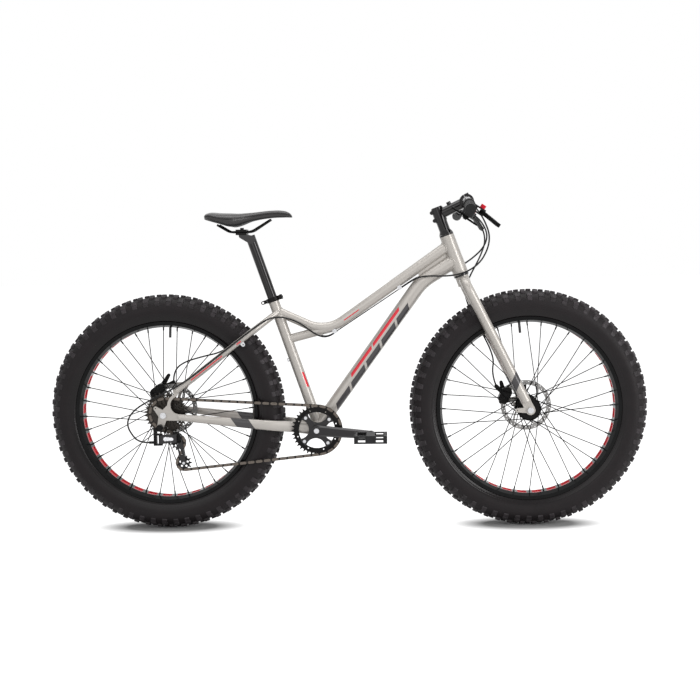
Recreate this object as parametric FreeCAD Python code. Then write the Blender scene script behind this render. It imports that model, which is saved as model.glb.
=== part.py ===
"""Fat tire bicycle with a rigid fork, disc brakes and one chainring.

Millimetres. X points forward, Y to the rider's left and Z up.
The origin lies on the ground, halfway between the two axles.
"""
import FreeCAD
import Part
import os
from math import acos, asin, atan2, cos, degrees, hypot, pi, radians, sin, sqrt, tan

V = FreeCAD.Vector
X_AXIS = V(1, 0, 0)
Y_AXIS = V(0, 1, 0)
Z_AXIS = V(0, 0, 1)
ORIGIN = V(0, 0, 0)

# Fits
running_gap = 0.05
seat_gap = 0.1
side_gap = 0.4

# Overall geometry
wheelbase = 1138.0
stay_beyond_tyre = 105.0
bottom_bracket_drop = 57.0
head_angle = radians(70.3)
fork_above_tyre = 93.6
fork_rake = 52.3
head_tube_length = 128.0
seat_angle = radians(71.3)
seat_tube_length = 438.0
seat_tube_offset = 4.0

# Frame tubes
head_tube_top_radius = 22.5
head_tube_foot_radius = 24.0
top_tube_radius = 17.5
top_tube_seat_radius = 14.8
top_tube_below_head_top = 29.5
top_tube_below_collar = 45.3
top_tube_bend_forward = 153.0
top_tube_bend_down = 71.0
top_tube_bend_radius = 115.0
down_tube_radius = 21.0
down_tube_head_radius = 23.5
down_tube_on_head_tube = 48.0
down_tube_bend_back = 108.0
down_tube_bend_down = 68.0
down_tube_bend_radius = 160.0
seat_tube_radius = 17.0
brace_radius = 14.0
brace_below_collar = 141.0
brace_wall = 2.0
tube_wall = 2.2
shell_radius = 22.5
shell_width = 100.0
seat_stay_radius = 9.6
seat_stay_below_collar = 50.0
seat_stay_bend_radius = 70.0
stay_tyre_clearance = 18.0
stay_ring_side = 42.5

# Headset, steerer and stem
steerer_radius = 14.3
steerer_bore = 11.6
cup_height = 6.0
cup_sleeve = 12.0
cup_wall = 2.9
cover_height = 10.6
spacer_height = 10.0
spacer_count = 3
spacer_radius = 17.0
stem_clamp_height = 44.0
stem_clamp_radius = 19.0
stem_forward = 85.0
stem_rise = 40.0
stem_radius = 16.0
top_cap_height = 3.0

# Handlebar and controls
bar_clamp_radius = 15.9
bar_clamp_width = 44.0
bar_end_radius = 11.1
bar_bend_at = 75.0
bar_half_width = 335.0
bar_sweep_back = 10.0
bar_drop = 35.0
grip_radius = 15.5
grip_length = 118.0
grip_cap = 4.0
lever_from_grip = 26.5
lever_slope = radians(33.0)
lever_pivot_forward = 45.0
lever_thickness = 11.0
lever_reach = 105.0
lever_splay = 48.0
bracket_radius = 17.0
bracket_width = 16.0
pod_radius = 19.0
pod_height = 17.0

# Fork
fork_leg_radius = 15.5
fork_leg_spread = 72.0
fork_crown_below_head = 22.0
fork_crown_radius = 21.0
fork_crown_depth = 14.0
fork_leg_below_crown = 46.0
fork_shoulder_radius = 38.0
fork_leg_ends_above_axle = 30.0
fork_eyelet_back = 40.0

# Hub spacing and axles
front_spacing = 135.0
rear_spacing = 175.0
axle_radius = 4.95
locknut_radius = 9.0
front_dropout = 8.0
rear_dropout = 7.0
axle_nut_height = 7.0
axle_nut_radius = 9.5
rotor_from_dropout = 15.5

# Wheels
tyre_width = 96.0
tyre_height = 103.0
tread_depth = 7.0
tread_side_depth = 1.2
casing_wall = 3.0
bead_thickness = 4.0
knob_count = 60
knob_root = 1.5
crown_knob_length = 13.0
crown_knob_from = 3.0
crown_knob_to = 33.0
shoulder_knob_length = 15.0
shoulder_knob_from = 40.0
shoulder_knob_to = 72.0
tread_sectors = 6
rim_width = 76.0
rim_wall = 2.6
rim_bed_radius = 270.0
rim_dish = 7.0
rim_hook = 11.0
rim_flat_width = 40.0
window_length = 28.0
window_width = 24.0
strip_thickness = 0.9
tube_radius = 37.0
tube_wall_thickness = 1.6
valve_radius = 4.0
valve_length = 34.0
spoke_count = 36
spoke_radius = 1.0
spoke_cross_angle = 60.0
spoke_stagger = 9.0
spoke_flange_gap = 2.2
nipple_radius = 2.2
nipple_length = 11.0
nipple_gap = 0.7
flange_thickness = 3.4
hub_barrel_radius = 20.0
hub_end_radius = 16.0
bearing_radius = 12.0
bearing_width = 8.0
front_flange_radius = 37.0
rear_flange_radius = 34.0
front_left_flange = 33.0
front_right_flange = -42.0
rear_left_flange = 52.0
rear_right_flange = -34.0
front_valve_angle = -5.6
rear_valve_angle = 2.7
rotor_radius = 80.0
rotor_thickness = 1.8
rotor_pilot = 17.0
rotor_bolt_circle = 22.0

# Drive
chain_pitch = 12.7
chain_line = 57.0
roller_radius = 3.8
plate_end_radius = 4.1
plate_thickness = 1.0
inner_link_half = 1.25
link_play = 0.1
pin_radius = 1.8
sprocket_thickness = 1.9
ring_teeth = 38
cog_teeth = (11, 13, 15, 18, 21, 24, 28, 32)
engaged_cog = 24
cog_spacing = 4.8
pulley_teeth = 11
freehub_radius = 17.0
crank_length = 170.0
crank_angle = radians(-4.0)
crank_thickness = 14.0
crank_flare = 20.0
crank_height = 35.0
crank_end_height = 25.0
crank_boss_radius = 17.0
spindle_radius = 8.5
bolt_circle_radius = 52.0
ring_band = 20.4
spider_radius = 60.0
spider_thickness = 5.0
spider_window_radius = 31.0
spider_window_out = 55.7
crank_bevel = 5.0
bolt_head_radius = 5.0
pedal_axle_radius = 6.0
pedal_length = 100.0
pedal_width = 86.0
pedal_height = 24.0
pedal_bar = 9.0
pedal_from_crank = 6.0

# Derailleur, placed from the rear axle
hanger_back = 10.4
hanger_down = 38.0
link_base_forward = 3.0
link_base_down = 35.0
link_out = 13.0
link_forward = 40.0
link_inward = 22.0
link_height = 26.0
cage_pivot_forward = 5.5
guide_below_pivot = 18.0
tension_forward = 23.0
tension_below_pivot = 81.0
cage_half_width = 4.9
cage_plate = 2.0

# Brakes
caliper_from_axle = 74.0
caliper_round = 17.0
caliper_ear = 25.5
caliper_inner = 15.0
front_caliper_angle = radians(154.0)
rear_caliper_angle = radians(128.0)
front_arm_length = 40.0
front_arm_lean = radians(-50.0)
rear_arm_length = 56.0
rear_arm_lean = radians(-70.0)
stop_radius = 5.5
tab_thickness = 6.0
arm_thickness = 5.0

# Seat
post_radius = 15.2
post_wall = 2.4
post_above_collar = 204.0
post_inside = 150.0
collar_height = 14.0
collar_wall = 3.6
rail_radius = 3.5
rail_spread = 22.0
saddle_length = 274.0
saddle_width = 150.0
saddle_back_of_post = 140.0
saddle_above_post = 67.0

# Cables
housing_radius = 2.5
inner_cable_radius = 0.8
boss_radius = 6.0
boss_bore = 2.1
boss_below_collar = 203.0
lug_wall = 3.4
lug_on_stay = 0.18

# Sizes, points and directions that follow
rim_edge_radius = rim_bed_radius + rim_dish
rim_flange_radius = rim_edge_radius + rim_hook
tyre_radius = rim_bed_radius + tyre_height
chain_stay_length = tyre_radius + stay_beyond_tyre
fork_length = tyre_radius + fork_above_tyre
top_tube_on_seat_tube = seat_tube_length - top_tube_below_collar
brace_on_seat_tube = seat_tube_length - brace_below_collar
seat_stay_on_seat_tube = seat_tube_length - seat_stay_below_collar
rear_axle = V(-wheelbase / 2, 0, tyre_radius)
front_axle = V(wheelbase / 2, 0, tyre_radius)
steer_up = V(-cos(head_angle), 0, sin(head_angle))
steer_forward = V(sin(head_angle), 0, cos(head_angle))
head_foot = front_axle + steer_up * fork_length - steer_forward * fork_rake
bracket_axis = rear_axle + V(sqrt(chain_stay_length**2 - bottom_bracket_drop**2), 0, -bottom_bracket_drop)
seat_up = V(-cos(seat_angle), 0, sin(seat_angle))
seat_forward = V(sin(seat_angle), 0, cos(seat_angle))
seat_foot = bracket_axis + V(seat_tube_offset, 0, 0)
crank_out = V(cos(crank_angle), 0, sin(crank_angle))
bar_centre = head_foot + steer_up * (head_tube_length + 69.0) + V(stem_forward, 0, stem_rise)
front_rotor_y = front_spacing / 2 - rotor_from_dropout
rear_rotor_y = rear_spacing / 2 - rotor_from_dropout


def on_head(distance):
    return head_foot + steer_up * distance


def on_seat(distance):
    return seat_foot + seat_up * distance


def aside(point, y):
    return V(point.x, y, point.z)


def rod(start, end, radius):
    return Part.makeCylinder(radius, (end - start).Length, start, end - start)


def taper(start, end, start_radius, end_radius):
    return Part.makeCone(start_radius, end_radius, (end - start).Length, start, end - start)


def tube(start, end, outer, inner):
    return rod(start, end, outer).cut(rod(start, end, inner))


def cross_rod(centre, y_start, y_end, radius):
    return rod(aside(centre, y_start), aside(centre, y_end), radius)


def cross_tube(centre, y_start, y_end, outer, inner):
    return tube(aside(centre, y_start), aside(centre, y_end), outer, inner)


def corner_turn(before, corner, after):
    return (corner - before).getAngle(after - corner)


def bent_wire(points, radii):
    """Straight runs joined by tangent arcs at the inner points."""
    edges = []
    here = points[0]
    for before, corner, after, radius in zip(points, points[1:], points[2:], radii):
        into = (corner - before).normalize()
        out = (after - corner).normalize()
        turn = corner_turn(before, corner, after)
        reach = radius * tan(turn / 2)
        middle = corner + (out - into).normalize() * (radius / cos(turn / 2) - radius)
        edges.append(Part.LineSegment(here, corner - into * reach).toShape())
        edges.append(Part.Arc(corner - into * reach, middle, corner + out * reach).toShape())
        here = corner + out * reach
    edges.append(Part.LineSegment(here, points[-1]).toShape())
    return Part.Wire(edges)


def circle_at(point, direction, radius):
    return Part.Wire([Part.makeCircle(radius, point, direction)])


def swept(points, radii, start_radius, end_radius=None):
    """Round bar along bent_wire, tapering when an end radius is given."""
    profiles = [circle_at(points[0], points[1] - points[0], start_radius)]
    if end_radius is not None:
        profiles.append(circle_at(points[-1], points[-1] - points[-2], end_radius))
    return bent_wire(points, radii).makePipeShell(profiles, True, False)


def cable(points, radius):
    """Cable along hand-chosen points, each bend as large as its two runs allow."""
    radii = []
    for before, corner, after in zip(points, points[1:], points[2:]):
        shorter = min((corner - before).Length, (after - corner).Length)
        radii.append(0.45 * shorter / tan(corner_turn(before, corner, after) / 2))
    return swept(points, radii, radius)


def strap(first, first_radius, second, second_radius, y_start, y_end):
    """Flat bar with two round ends, drawn in the XZ plane."""
    span = second - first
    heading = atan2(span.z, span.x)
    lean = acos((first_radius - second_radius) / hypot(span.x, span.z))

    def rim(centre, radius, angle):
        return V(centre.x + radius * cos(angle), y_start, centre.z + radius * sin(angle))

    a0 = rim(first, first_radius, heading + lean)
    a1 = rim(second, second_radius, heading + lean)
    b1 = rim(second, second_radius, heading - lean)
    b0 = rim(first, first_radius, heading - lean)
    far = rim(second, second_radius, heading)
    near = rim(first, first_radius, heading + pi)
    edges = [Part.LineSegment(a0, a1), Part.Arc(a1, far, b1),
             Part.LineSegment(b1, b0), Part.Arc(b0, near, a0)]
    face = Part.Face(Part.Wire([edge.toShape() for edge in edges]))
    return face.extrude(V(0, y_end - y_start, 0))


def placed(shape, origin, x_dir, z_dir):
    """Move a shape drawn at the origin so that its X and Z follow the given directions."""
    y_dir = z_dir.cross(x_dir)
    matrix = FreeCAD.Matrix(
        x_dir.x, y_dir.x, z_dir.x, origin.x,
        x_dir.y, y_dir.y, z_dir.y, origin.y,
        x_dir.z, y_dir.z, z_dir.z, origin.z,
        0, 0, 0, 1)
    moved = shape.copy()
    moved.Placement = FreeCAD.Placement(matrix)
    return moved


def spun(points):
    """Solid of revolution about Y from (radius, y) corners."""
    corners = [V(r, y, 0) for r, y in points]
    face = Part.Face(Part.makePolygon(corners + corners[:1]))
    return face.revolve(ORIGIN, Y_AXIS, 360)


def joined(first, *others):
    return first.multiFuse(list(others)).removeSplitter()


def polar(radius, angle, y):
    """Point of a wheel, with the angle in degrees from the top towards the front."""
    return V(radius * sin(radians(angle)), y, radius * cos(radians(angle)))


def turned(shape, angle):
    return shape.rotated(ORIGIN, Y_AXIS, angle)


def mirrored(shape):
    return shape.mirror(ORIGIN, Y_AXIS)


def save(node, *shapes):
    solids = [solid for shape in shapes for solid in shape.Solids]
    Part.Compound(solids).exportStep("parts/%s.step" % node)


# Frame

head_solid = taper(on_head(0), on_head(head_tube_length), head_tube_foot_radius, head_tube_top_radius)
seat_solid = rod(seat_foot, on_seat(seat_tube_length), seat_tube_radius)
shell_solid = cross_rod(bracket_axis, -shell_width / 2, shell_width / 2, shell_radius)
cup_radius = steerer_radius + running_gap + cup_wall
shell_bore = spindle_radius + 9.0

top_head_end = on_head(head_tube_length - top_tube_below_head_top)
top_seat_end = on_seat(top_tube_on_seat_tube)
top_bend = top_seat_end + V(top_tube_bend_forward, 0, -top_tube_bend_down)
top_points = [top_head_end, top_bend, top_seat_end]
down_head_end = on_head(down_tube_on_head_tube)
down_bend = down_head_end - V(down_tube_bend_back, 0, down_tube_bend_down)
down_points = [bracket_axis, down_bend, down_head_end]
brace_ends = on_seat(brace_on_seat_tube), top_bend + V(24.0, 0, 17.0)
brace_solid = rod(*brace_ends, brace_radius)
top_outer = swept(top_points, [top_tube_bend_radius], top_tube_radius, top_tube_seat_radius)
down_outer = swept(down_points, [down_tube_bend_radius], down_tube_radius, down_tube_head_radius)


def frame_tubes():
    top_inner = swept(top_points, [top_tube_bend_radius], top_tube_radius - tube_wall,
                      top_tube_seat_radius - tube_wall)
    down_inner = swept(down_points, [down_tube_bend_radius], down_tube_radius - tube_wall,
                       down_tube_head_radius - tube_wall)
    brace = brace_solid.cut(rod(*brace_ends, brace_radius - brace_wall))
    save("head_tube", head_solid.cut(rod(on_head(0), on_head(head_tube_length), cup_radius + seat_gap)))
    save("top_tube", top_outer.cut([top_inner, head_solid, seat_solid]),
         brace.cut([seat_solid, top_outer]))
    save("down_tube", down_outer.cut([down_inner, head_solid, shell_solid, top_outer]))
    save("seat_tube", seat_solid.cut([rod(seat_foot, on_seat(seat_tube_length), post_radius + running_gap),
                                      shell_solid, down_outer]))
    save("bb_shell", shell_solid.cut(cross_rod(bracket_axis, -shell_width / 2, shell_width / 2, shell_bore)))


dropout_inner = rear_spacing / 2
dropout_outer = dropout_inner + rear_dropout
dropout_middle = dropout_inner + rear_dropout / 2
seat_stay_end = rear_axle + V(42.0, 0, 76.0)
chain_stay_end = rear_axle + V(48.0, 0, -7.0)
hanger = rear_axle - V(hanger_back, 0, hanger_down)
rear_eyelet = rear_axle + V(-24.0, 0, 22.0)
loop_centre = rear_axle + V(51.0, 0, 31.0)
loop_radius = 33.0
loop_half_width = 4.5
loop_top = loop_centre + V(-cos(radians(70.0)), 0, sin(radians(70.0))) * loop_radius
loop_back = loop_centre - V(loop_radius, 0, 3.0)


def ellipse_wire(centre, half_width, half_height):
    curve = Part.Ellipse(centre + V(0, 0, half_height), centre + V(0, half_width, 0), centre)
    return Part.Wire([curve.toShape()])


def chain_stay():
    """Left chain stay: flat oval, close to the chainring first and then out round the tyre."""
    run = chain_stay_end - bracket_axis
    tyre_side = tyre_width / 2 + stay_tyre_clearance
    points = [aside(bracket_axis + run * part, y) for part, y in (
        (0.0, stay_ring_side - 4.5), (0.2, stay_ring_side), (0.36, tyre_side), (1.0, dropout_middle))]
    path = bent_wire(points, [70.0, 110.0])
    ends = [ellipse_wire(points[0], 9.5, 19.0), ellipse_wire(points[-1], 7.5, 10.5)]
    return path.makePipeShell(ends, True, False)


def dropout_loop():
    """Curved arm of the left dropout, open to the front, between the seat stay and the chain stay."""
    ring = cross_tube(loop_centre, dropout_inner, dropout_outer, loop_radius + loop_half_width,
                      loop_radius - loop_half_width)
    span = 3 * loop_radius
    return ring.common(Part.makeBox(span, rear_dropout, span, V(loop_top.x - span, dropout_inner,
                                                                 loop_centre.z - span / 2)))


def rear_triangle():
    start = on_seat(seat_stay_on_seat_tube) + V(0, 10.0, 0)
    bend = on_seat(seat_stay_on_seat_tube) + V(-68.0, tyre_width / 2 + 14.0, -50.0)
    seat_stay = swept([start, bend, aside(seat_stay_end, dropout_middle)],
                      [seat_stay_bend_radius], seat_stay_radius)
    plates = [
        dropout_loop(),
        strap(seat_stay_end, 10.0, loop_top, loop_half_width, dropout_inner, dropout_outer),
        strap(rear_axle, 14.0, loop_back, 6.0, dropout_inner, dropout_outer),
        strap(rear_axle, 16.0, chain_stay_end, 9.5, dropout_inner, dropout_outer),
        strap(rear_axle, 14.0, rear_eyelet, boss_radius, dropout_inner, dropout_outer)]
    bores = [cross_rod(rear_axle, dropout_inner, dropout_outer, axle_radius + seat_gap),
             cross_rod(rear_eyelet, dropout_inner, dropout_outer, boss_bore)]
    ears = [strap(rear_axle, 12.0, rear_ear_low, 7.0, dropout_inner, dropout_outer),
            strap(seat_stay_end, 8.0, rear_ear_high, 7.0, dropout_inner, dropout_outer)]
    hanger_tab = mirrored(strap(rear_axle, 14.0, hanger, 10.0, dropout_inner, dropout_outer))
    left = joined(*plates, *ears).cut(bores)
    right_plates = joined(*[mirrored(plate) for plate in plates], hanger_tab)
    right = right_plates.cut([mirrored(bore) for bore in bores])
    stays = []
    for stay in (chain_stay(), seat_stay):
        trimmed = stay.cut([shell_solid, seat_solid, joined(*plates)])
        solid = max(trimmed.Solids, key=lambda piece: piece.Volume)
        stays += [solid, mirrored(solid)]
    save("rear_stays", *stays)
    save("rear_dropouts", left, right)


def ear_points(axle, angle):
    """Caliper centre and its two ears, round the axle."""
    outward = V(cos(angle), 0, sin(angle))
    along = V(-sin(angle), 0, cos(angle))
    centre = axle + outward * caliper_from_axle
    return centre, centre + along * caliper_ear, centre - along * caliper_ear


_, front_ear_low, front_ear_high = ear_points(front_axle, front_caliper_angle)
_, rear_ear_low, rear_ear_high = ear_points(rear_axle, rear_caliper_angle)


def headset():
    collar = tube(on_head(-cup_height), on_head(0), head_tube_foot_radius, steerer_radius + running_gap)
    sleeve = tube(on_head(0), on_head(cup_sleeve), cup_radius, steerer_radius + running_gap)
    top = head_tube_length
    upper_collar = tube(on_head(top), on_head(top + cup_height),
                        head_tube_top_radius, steerer_radius + running_gap)
    upper_sleeve = tube(on_head(top - cup_sleeve), on_head(top), cup_radius, steerer_radius + running_gap)
    save("headset_cups", joined(collar, sleeve), joined(upper_collar, upper_sleeve))


def bottom_bracket():
    half = shell_width / 2
    bore = spindle_radius + running_gap
    flange = cross_tube(bracket_axis, half, half + 3.5, shell_radius - 1.0, bore)
    sleeve = cross_tube(bracket_axis, half - 22.0, half, shell_bore - seat_gap, bore)
    cup = joined(flange, sleeve)
    save("bottom_bracket", cup, mirrored(cup))


# Seat

post_foot = on_seat(seat_tube_length - post_inside)
post_top = on_seat(seat_tube_length + post_above_collar)
clamp_centre = post_top + V(-25.0, 0, 13.0)
saddle_tail = post_top.x - saddle_back_of_post
saddle_base = post_top.z


def seat_collar():
    low = on_seat(seat_tube_length - collar_height)
    high = on_seat(seat_tube_length)
    outer = seat_tube_radius + seat_gap + collar_wall
    skewer = on_seat(seat_tube_length - collar_height / 2) + seat_forward * (outer + 5.0)
    ear = placed(Part.makeBox(16.0, 16.0, collar_height, V(-11.0, -8.0, -collar_height / 2)),
                 skewer, seat_forward, seat_up)
    slot = placed(Part.makeBox(30.0, 2.0, collar_height * 2, V(-16.0, -1.0, -collar_height)),
                  skewer, seat_forward, seat_up)
    ring = joined(rod(low, high, outer), ear).cut([rod(low, high, seat_tube_radius + seat_gap), slot])
    bolt = cross_rod(skewer, -8.0, 8.0, 2.4)
    nut = cross_rod(skewer, -14.0, -8.0, 6.5)
    seat = cross_rod(skewer, 8.0, 13.5, 6.5)
    lugs = lever_lugs(aside(skewer, 13.5), seat_up, 5.0, outer + 4.0 - 13.5)
    save("seat_clamp", joined(ring, bolt, nut, seat, lugs))
    lever = cam_lever(62.0)
    pivot = aside(skewer, outer + 4.0)
    save("seat_clamp_lever", placed(lever, pivot, seat_up, -seat_forward))


def lever_lugs(base, pin_direction, half, reach):
    """Two lugs with a pin, which carry a cam lever at the given reach outward."""
    lug = Part.makeBox(2.5, reach + 4.0, 8.0, V(half + side_gap, 0, -4.0))
    other = lug.mirror(ORIGIN, V(1, 0, 0))
    pin = rod(V(-half - 1.0, reach, 0), V(half + 1.0, reach, 0), 2.0)
    return placed(joined(lug, other, pin), base, pin_direction, pin_direction.cross(Y_AXIS))


def cam_lever(length):
    """Quick-release lever: X is its pin, Z its length, both from the pin's centre."""
    blade = strap(V(0, 0, 0), 5.0, V(0, 0, length), 6.0, -2.2, 2.2)
    loop = rod(V(0, -3.0, length), V(0, 3.0, length), 3.4)
    bore = rod(V(-9.0, 0, 0), V(9.0, 0, 0), 2.0 + running_gap)
    return blade.cut([loop, bore])


def seat_post():
    outer = rod(post_foot, post_top, post_radius)
    bore = rod(post_foot, post_top - seat_up * 20.0, post_radius - post_wall)
    head = strap(post_top - seat_up * 12.0, 13.0, clamp_centre - V(0, 0, 11.5), 9.0, -15.0, 15.0)
    cradle_top = clamp_centre.z - rail_radius
    above = V(clamp_centre.x - 45.0, -45.0, cradle_top - seat_gap - 6.0)
    head = head.cut(Part.makeBox(90.0, 90.0, 90.0, above))
    save("seat_post", joined(outer.cut(bore), head))


def saddle_clamp():
    base = clamp_centre.z - rail_radius
    lower = Part.makeBox(34.0, 54.0, 6.0, V(clamp_centre.x - 17.0, -27.0, base - 6.0))
    upper = Part.makeBox(34.0, 54.0, 6.5, V(clamp_centre.x - 17.0, -27.0, clamp_centre.z + 1.0))
    grooves = []
    for y in (-rail_spread, rail_spread):
        line = V(20.0, 0, 0)
        centre = V(clamp_centre.x, y, clamp_centre.z)
        grooves.append(rod(centre - line, centre + line, rail_radius + seat_gap))
    bolt = rod(V(clamp_centre.x, 0, base), V(clamp_centre.x, 0, clamp_centre.z + 12.0), 3.0)
    head = rod(V(clamp_centre.x, 0, clamp_centre.z + 7.5), V(clamp_centre.x, 0, clamp_centre.z + 13.0), 6.0)
    save("saddle_clamp", joined(lower, upper, bolt, head).cut(grooves))


def rail_points(side):
    x = clamp_centre.x
    z = clamp_centre.z
    return [V(x - 74.0, side * 30.0, z + 23.0), V(x - 36.0, side * rail_spread, z),
            V(x + 32.0, side * rail_spread, z), V(x + 92.0, side * 9.0, z + 37.0)]


def saddle_rails():
    rails = [swept(rail_points(side), [30.0, 40.0], rail_radius) for side in (-1, 1)]
    save("saddle_rails", *rails)


def saddle_section(x, half, top, edge, base, tuck):
    """Closed section across the saddle: crown, two drawn-in sides and a flat base."""
    crown = Part.Arc(V(x, -half, edge), V(x, 0, top), V(x, half, edge))
    right = Part.Arc(V(x, half, edge), V(x, half * 0.98, (edge + base) / 2), V(x, half * tuck, base))
    floor = Part.LineSegment(V(x, half * tuck, base), V(x, -half * tuck, base))
    left = Part.Arc(V(x, -half * tuck, base), V(x, -half * 0.98, (edge + base) / 2), V(x, -half, edge))
    return Part.Wire([edge_curve.toShape() for edge_curve in (crown, right, floor, left)])


def saddle():
    half = saddle_width / 2
    z = saddle_base
    up = saddle_above_post
    stations = (
        (0.0, 0.72, up + 2.0, up - 6.0, up - 16.0, 0.86),
        (0.08, 0.92, up + 8.0, up - 6.0, up - 26.0, 0.88),
        (0.22, 1.0, up + 6.0, up - 14.0, up - 34.0, 0.90),
        (0.38, 0.80, up + 4.0, up - 16.0, up - 36.0, 0.88),
        (0.55, 0.46, up + 7.0, up - 8.0, up - 26.0, 0.86),
        (0.75, 0.30, up + 12.0, up + 0.0, up - 17.0, 0.84),
        (0.92, 0.25, up + 9.0, up - 1.0, up - 15.0, 0.82),
        (1.0, 0.13, up - 2.0, up - 7.0, up - 14.0, 0.80))
    sections = []
    for t, width, top, edge, base, tuck in stations:
        sections.append(saddle_section(saddle_tail + saddle_length * t, half * width, z + top, z + edge,
                                       z + base, tuck))
    cover = Part.makeLoft(sections, True)
    sockets = [swept(rail_points(side), [30.0, 40.0], rail_radius + seat_gap) for side in (-1, 1)]
    save("saddle", cover.cut(sockets))


# Steering

stem_low = head_tube_length + cup_height + side_gap + cover_height + spacer_count * spacer_height
stem_high = stem_low + stem_clamp_height
stem_along = V(stem_forward, 0, stem_rise).normalize()
stem_across = V(-stem_along.z, 0, stem_along.x)
fork_crown = on_head(-fork_crown_below_head)
leg_up = (fork_crown - front_axle).normalize()
leg_forward = V(leg_up.z, 0, -leg_up.x)
fork_tab = front_spacing / 2 - 1.0
fork_eyelet = front_axle - V(fork_eyelet_back, 0, 0)


def fork():
    crown_foot = on_head(-fork_crown_below_head - fork_crown_depth)
    steerer = tube(crown_foot, on_head(stem_high - 2.0), steerer_radius, steerer_bore)
    crown = rod(crown_foot, on_head(-cup_height - side_gap), fork_crown_radius)
    leg_end = front_axle + leg_up * fork_leg_ends_above_axle
    leg = swept([aside(fork_crown, 4.0), aside(fork_crown, fork_leg_spread),
                 aside(leg_end, fork_leg_spread)],
                [fork_shoulder_radius], fork_leg_radius)
    inner = front_spacing / 2
    foot = strap(front_axle, 15.0, leg_end + leg_up * 12.0, 14.0, inner, inner + front_dropout)
    eyelet = strap(front_axle, 10.0, fork_eyelet, boss_radius, inner, inner + front_dropout)
    bores = [cross_rod(front_axle, inner, inner + front_dropout, axle_radius + seat_gap),
             cross_rod(fork_eyelet, inner, inner + front_dropout, boss_bore)]
    side = joined(leg, foot, eyelet).cut(bores)
    high_tab = strap(front_axle + leg_up * 72.0, 8.0, front_ear_high, 7.0,
                     fork_tab, fork_tab + tab_thickness)
    low_tab = strap(front_axle + leg_up * 24.0, 8.0, front_ear_low, 7.0, fork_tab, fork_tab + tab_thickness)
    legs = joined(crown, side, mirrored(side), high_tab, low_tab)
    rotor_room = cross_rod(front_axle, 0, front_spacing / 2 - 12.0, rotor_radius + 2.0)
    socket = rod(crown_foot - steer_up * fork_crown_radius, on_head(0), steerer_radius + seat_gap)
    whole = legs.cut([rotor_room, socket])
    corner = V(-fork_length / 2, -fork_length / 2, -fork_length)
    below = placed(Part.makeBox(fork_length, fork_length, fork_length, corner),
                   fork_crown - leg_up * fork_leg_below_crown, leg_forward, leg_up)
    save("fork", steerer, whole.cut(below), whole.common(below))


def stem():
    bore = steerer_radius + seat_gap
    clamp = rod(on_head(stem_low), on_head(stem_high), stem_clamp_radius)
    root = on_head(stem_low + stem_clamp_height / 2)
    arm = rod(root, bar_centre, stem_radius)
    half = bar_clamp_width / 2
    grip = cross_rod(bar_centre, -half, half, bar_clamp_radius + 6.6)
    ears = [cross_rod(on_head(height) - steer_forward * 20.0, -11.0, 11.0, 6.0)
            for height in (stem_low + 9.0, stem_high - 9.0)]
    knob_foot = root + (bar_centre - root) * 0.45
    knob = rod(knob_foot, knob_foot + stem_across * (stem_radius + 8.0), 7.0)
    front_half = Part.makeBox(60.0, 80.0, 80.0, V(-1.0, -40.0, -40.0))
    ahead = placed(front_half, bar_centre, stem_along, stem_across)
    behind = placed(Part.makeBox(60.0, 80.0, 80.0, V(-59.0, -40.0, -40.0)), bar_centre, stem_along,
                    stem_across)
    bar_bore = cross_rod(bar_centre, -half, half, bar_clamp_radius + seat_gap)
    steerer_hole = rod(on_head(stem_low), on_head(stem_high), bore)
    body = joined(clamp, arm, grip, *ears, knob).cut([bar_bore, steerer_hole, ahead])
    heads = []
    for y in (-half + 7.0, half - 7.0):
        for across in (-bar_clamp_radius - 3.2, bar_clamp_radius + 3.2):
            seat = bar_centre + V(0, y, 0) + stem_across * across
            heads.append(rod(seat + stem_along * 2.0, seat + stem_along * 15.0, 3.6))
    plate = joined(grip, *heads).cut([bar_bore, behind])
    cover_low = head_tube_length + cup_height + side_gap
    cover = taper(on_head(cover_low), on_head(cover_low + cover_height), head_tube_top_radius, spacer_radius)
    pieces = [cover.cut(rod(on_head(cover_low), on_head(cover_low + cover_height), bore))]
    for index in range(spacer_count):
        low = cover_low + cover_height + index * spacer_height
        pieces.append(tube(on_head(low), on_head(low + spacer_height), spacer_radius, bore))
    pieces.append(rod(on_head(stem_high), on_head(stem_high + top_cap_height), spacer_radius))
    save("stem", body, plate, *pieces)


def bar_frame(side):
    """Foot of a bar's outer stretch, its outward direction, and the lever's forward and up directions."""
    bend = bar_centre + V(0, side * bar_bend_at, 0)
    end = bar_centre + V(-bar_sweep_back, side * bar_half_width, -bar_drop)
    out = (end - bend).normalize()
    slope = V(cos(lever_slope), 0, -sin(lever_slope))
    forward = (slope - out * slope.dot(out)).normalize()
    return bend, end, out, forward, out.cross(forward) * -side


def handlebar():
    half = bar_clamp_width / 2 + 12.0
    pieces = [cross_rod(bar_centre, -half, half, bar_clamp_radius)]
    grips = []
    for side in (-1, 1):
        bend, end, out, forward, up = bar_frame(side)
        pieces.append(taper(aside(bar_centre, side * half), bend, bar_clamp_radius, bar_end_radius))
        pieces.append(Part.makeSphere(bar_end_radius, bend))
        pieces.append(rod(bend, end, bar_end_radius))
        sleeve = tube(end - out * grip_length, end, grip_radius, bar_end_radius + seat_gap)
        collar = tube(end - out * grip_length, end - out * (grip_length - 7.0), grip_radius + 2.5,
                      bar_end_radius + seat_gap)
        cap = rod(end, end + out * grip_cap, grip_radius)
        grips.append(joined(sleeve, collar, cap))
    save("handlebar", joined(*pieces))
    save("grips", *grips)


def lever_frame(side):
    bend, end, out, forward, up = bar_frame(side)
    return end - out * (grip_length + lever_from_grip), out, forward, up


def at_lever(shape, side):
    """Put a shape drawn with X outward and Z forward on a lever's clamp; Y is then across the lever."""
    origin, out, forward, up = lever_frame(side)
    return placed(shape, origin, out, forward)


def over(side, low, high):
    """Range across the lever, given upward: the drawing's Y runs up on the left and down on the right."""
    return (low, high) if side > 0 else (-high, -low)


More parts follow.
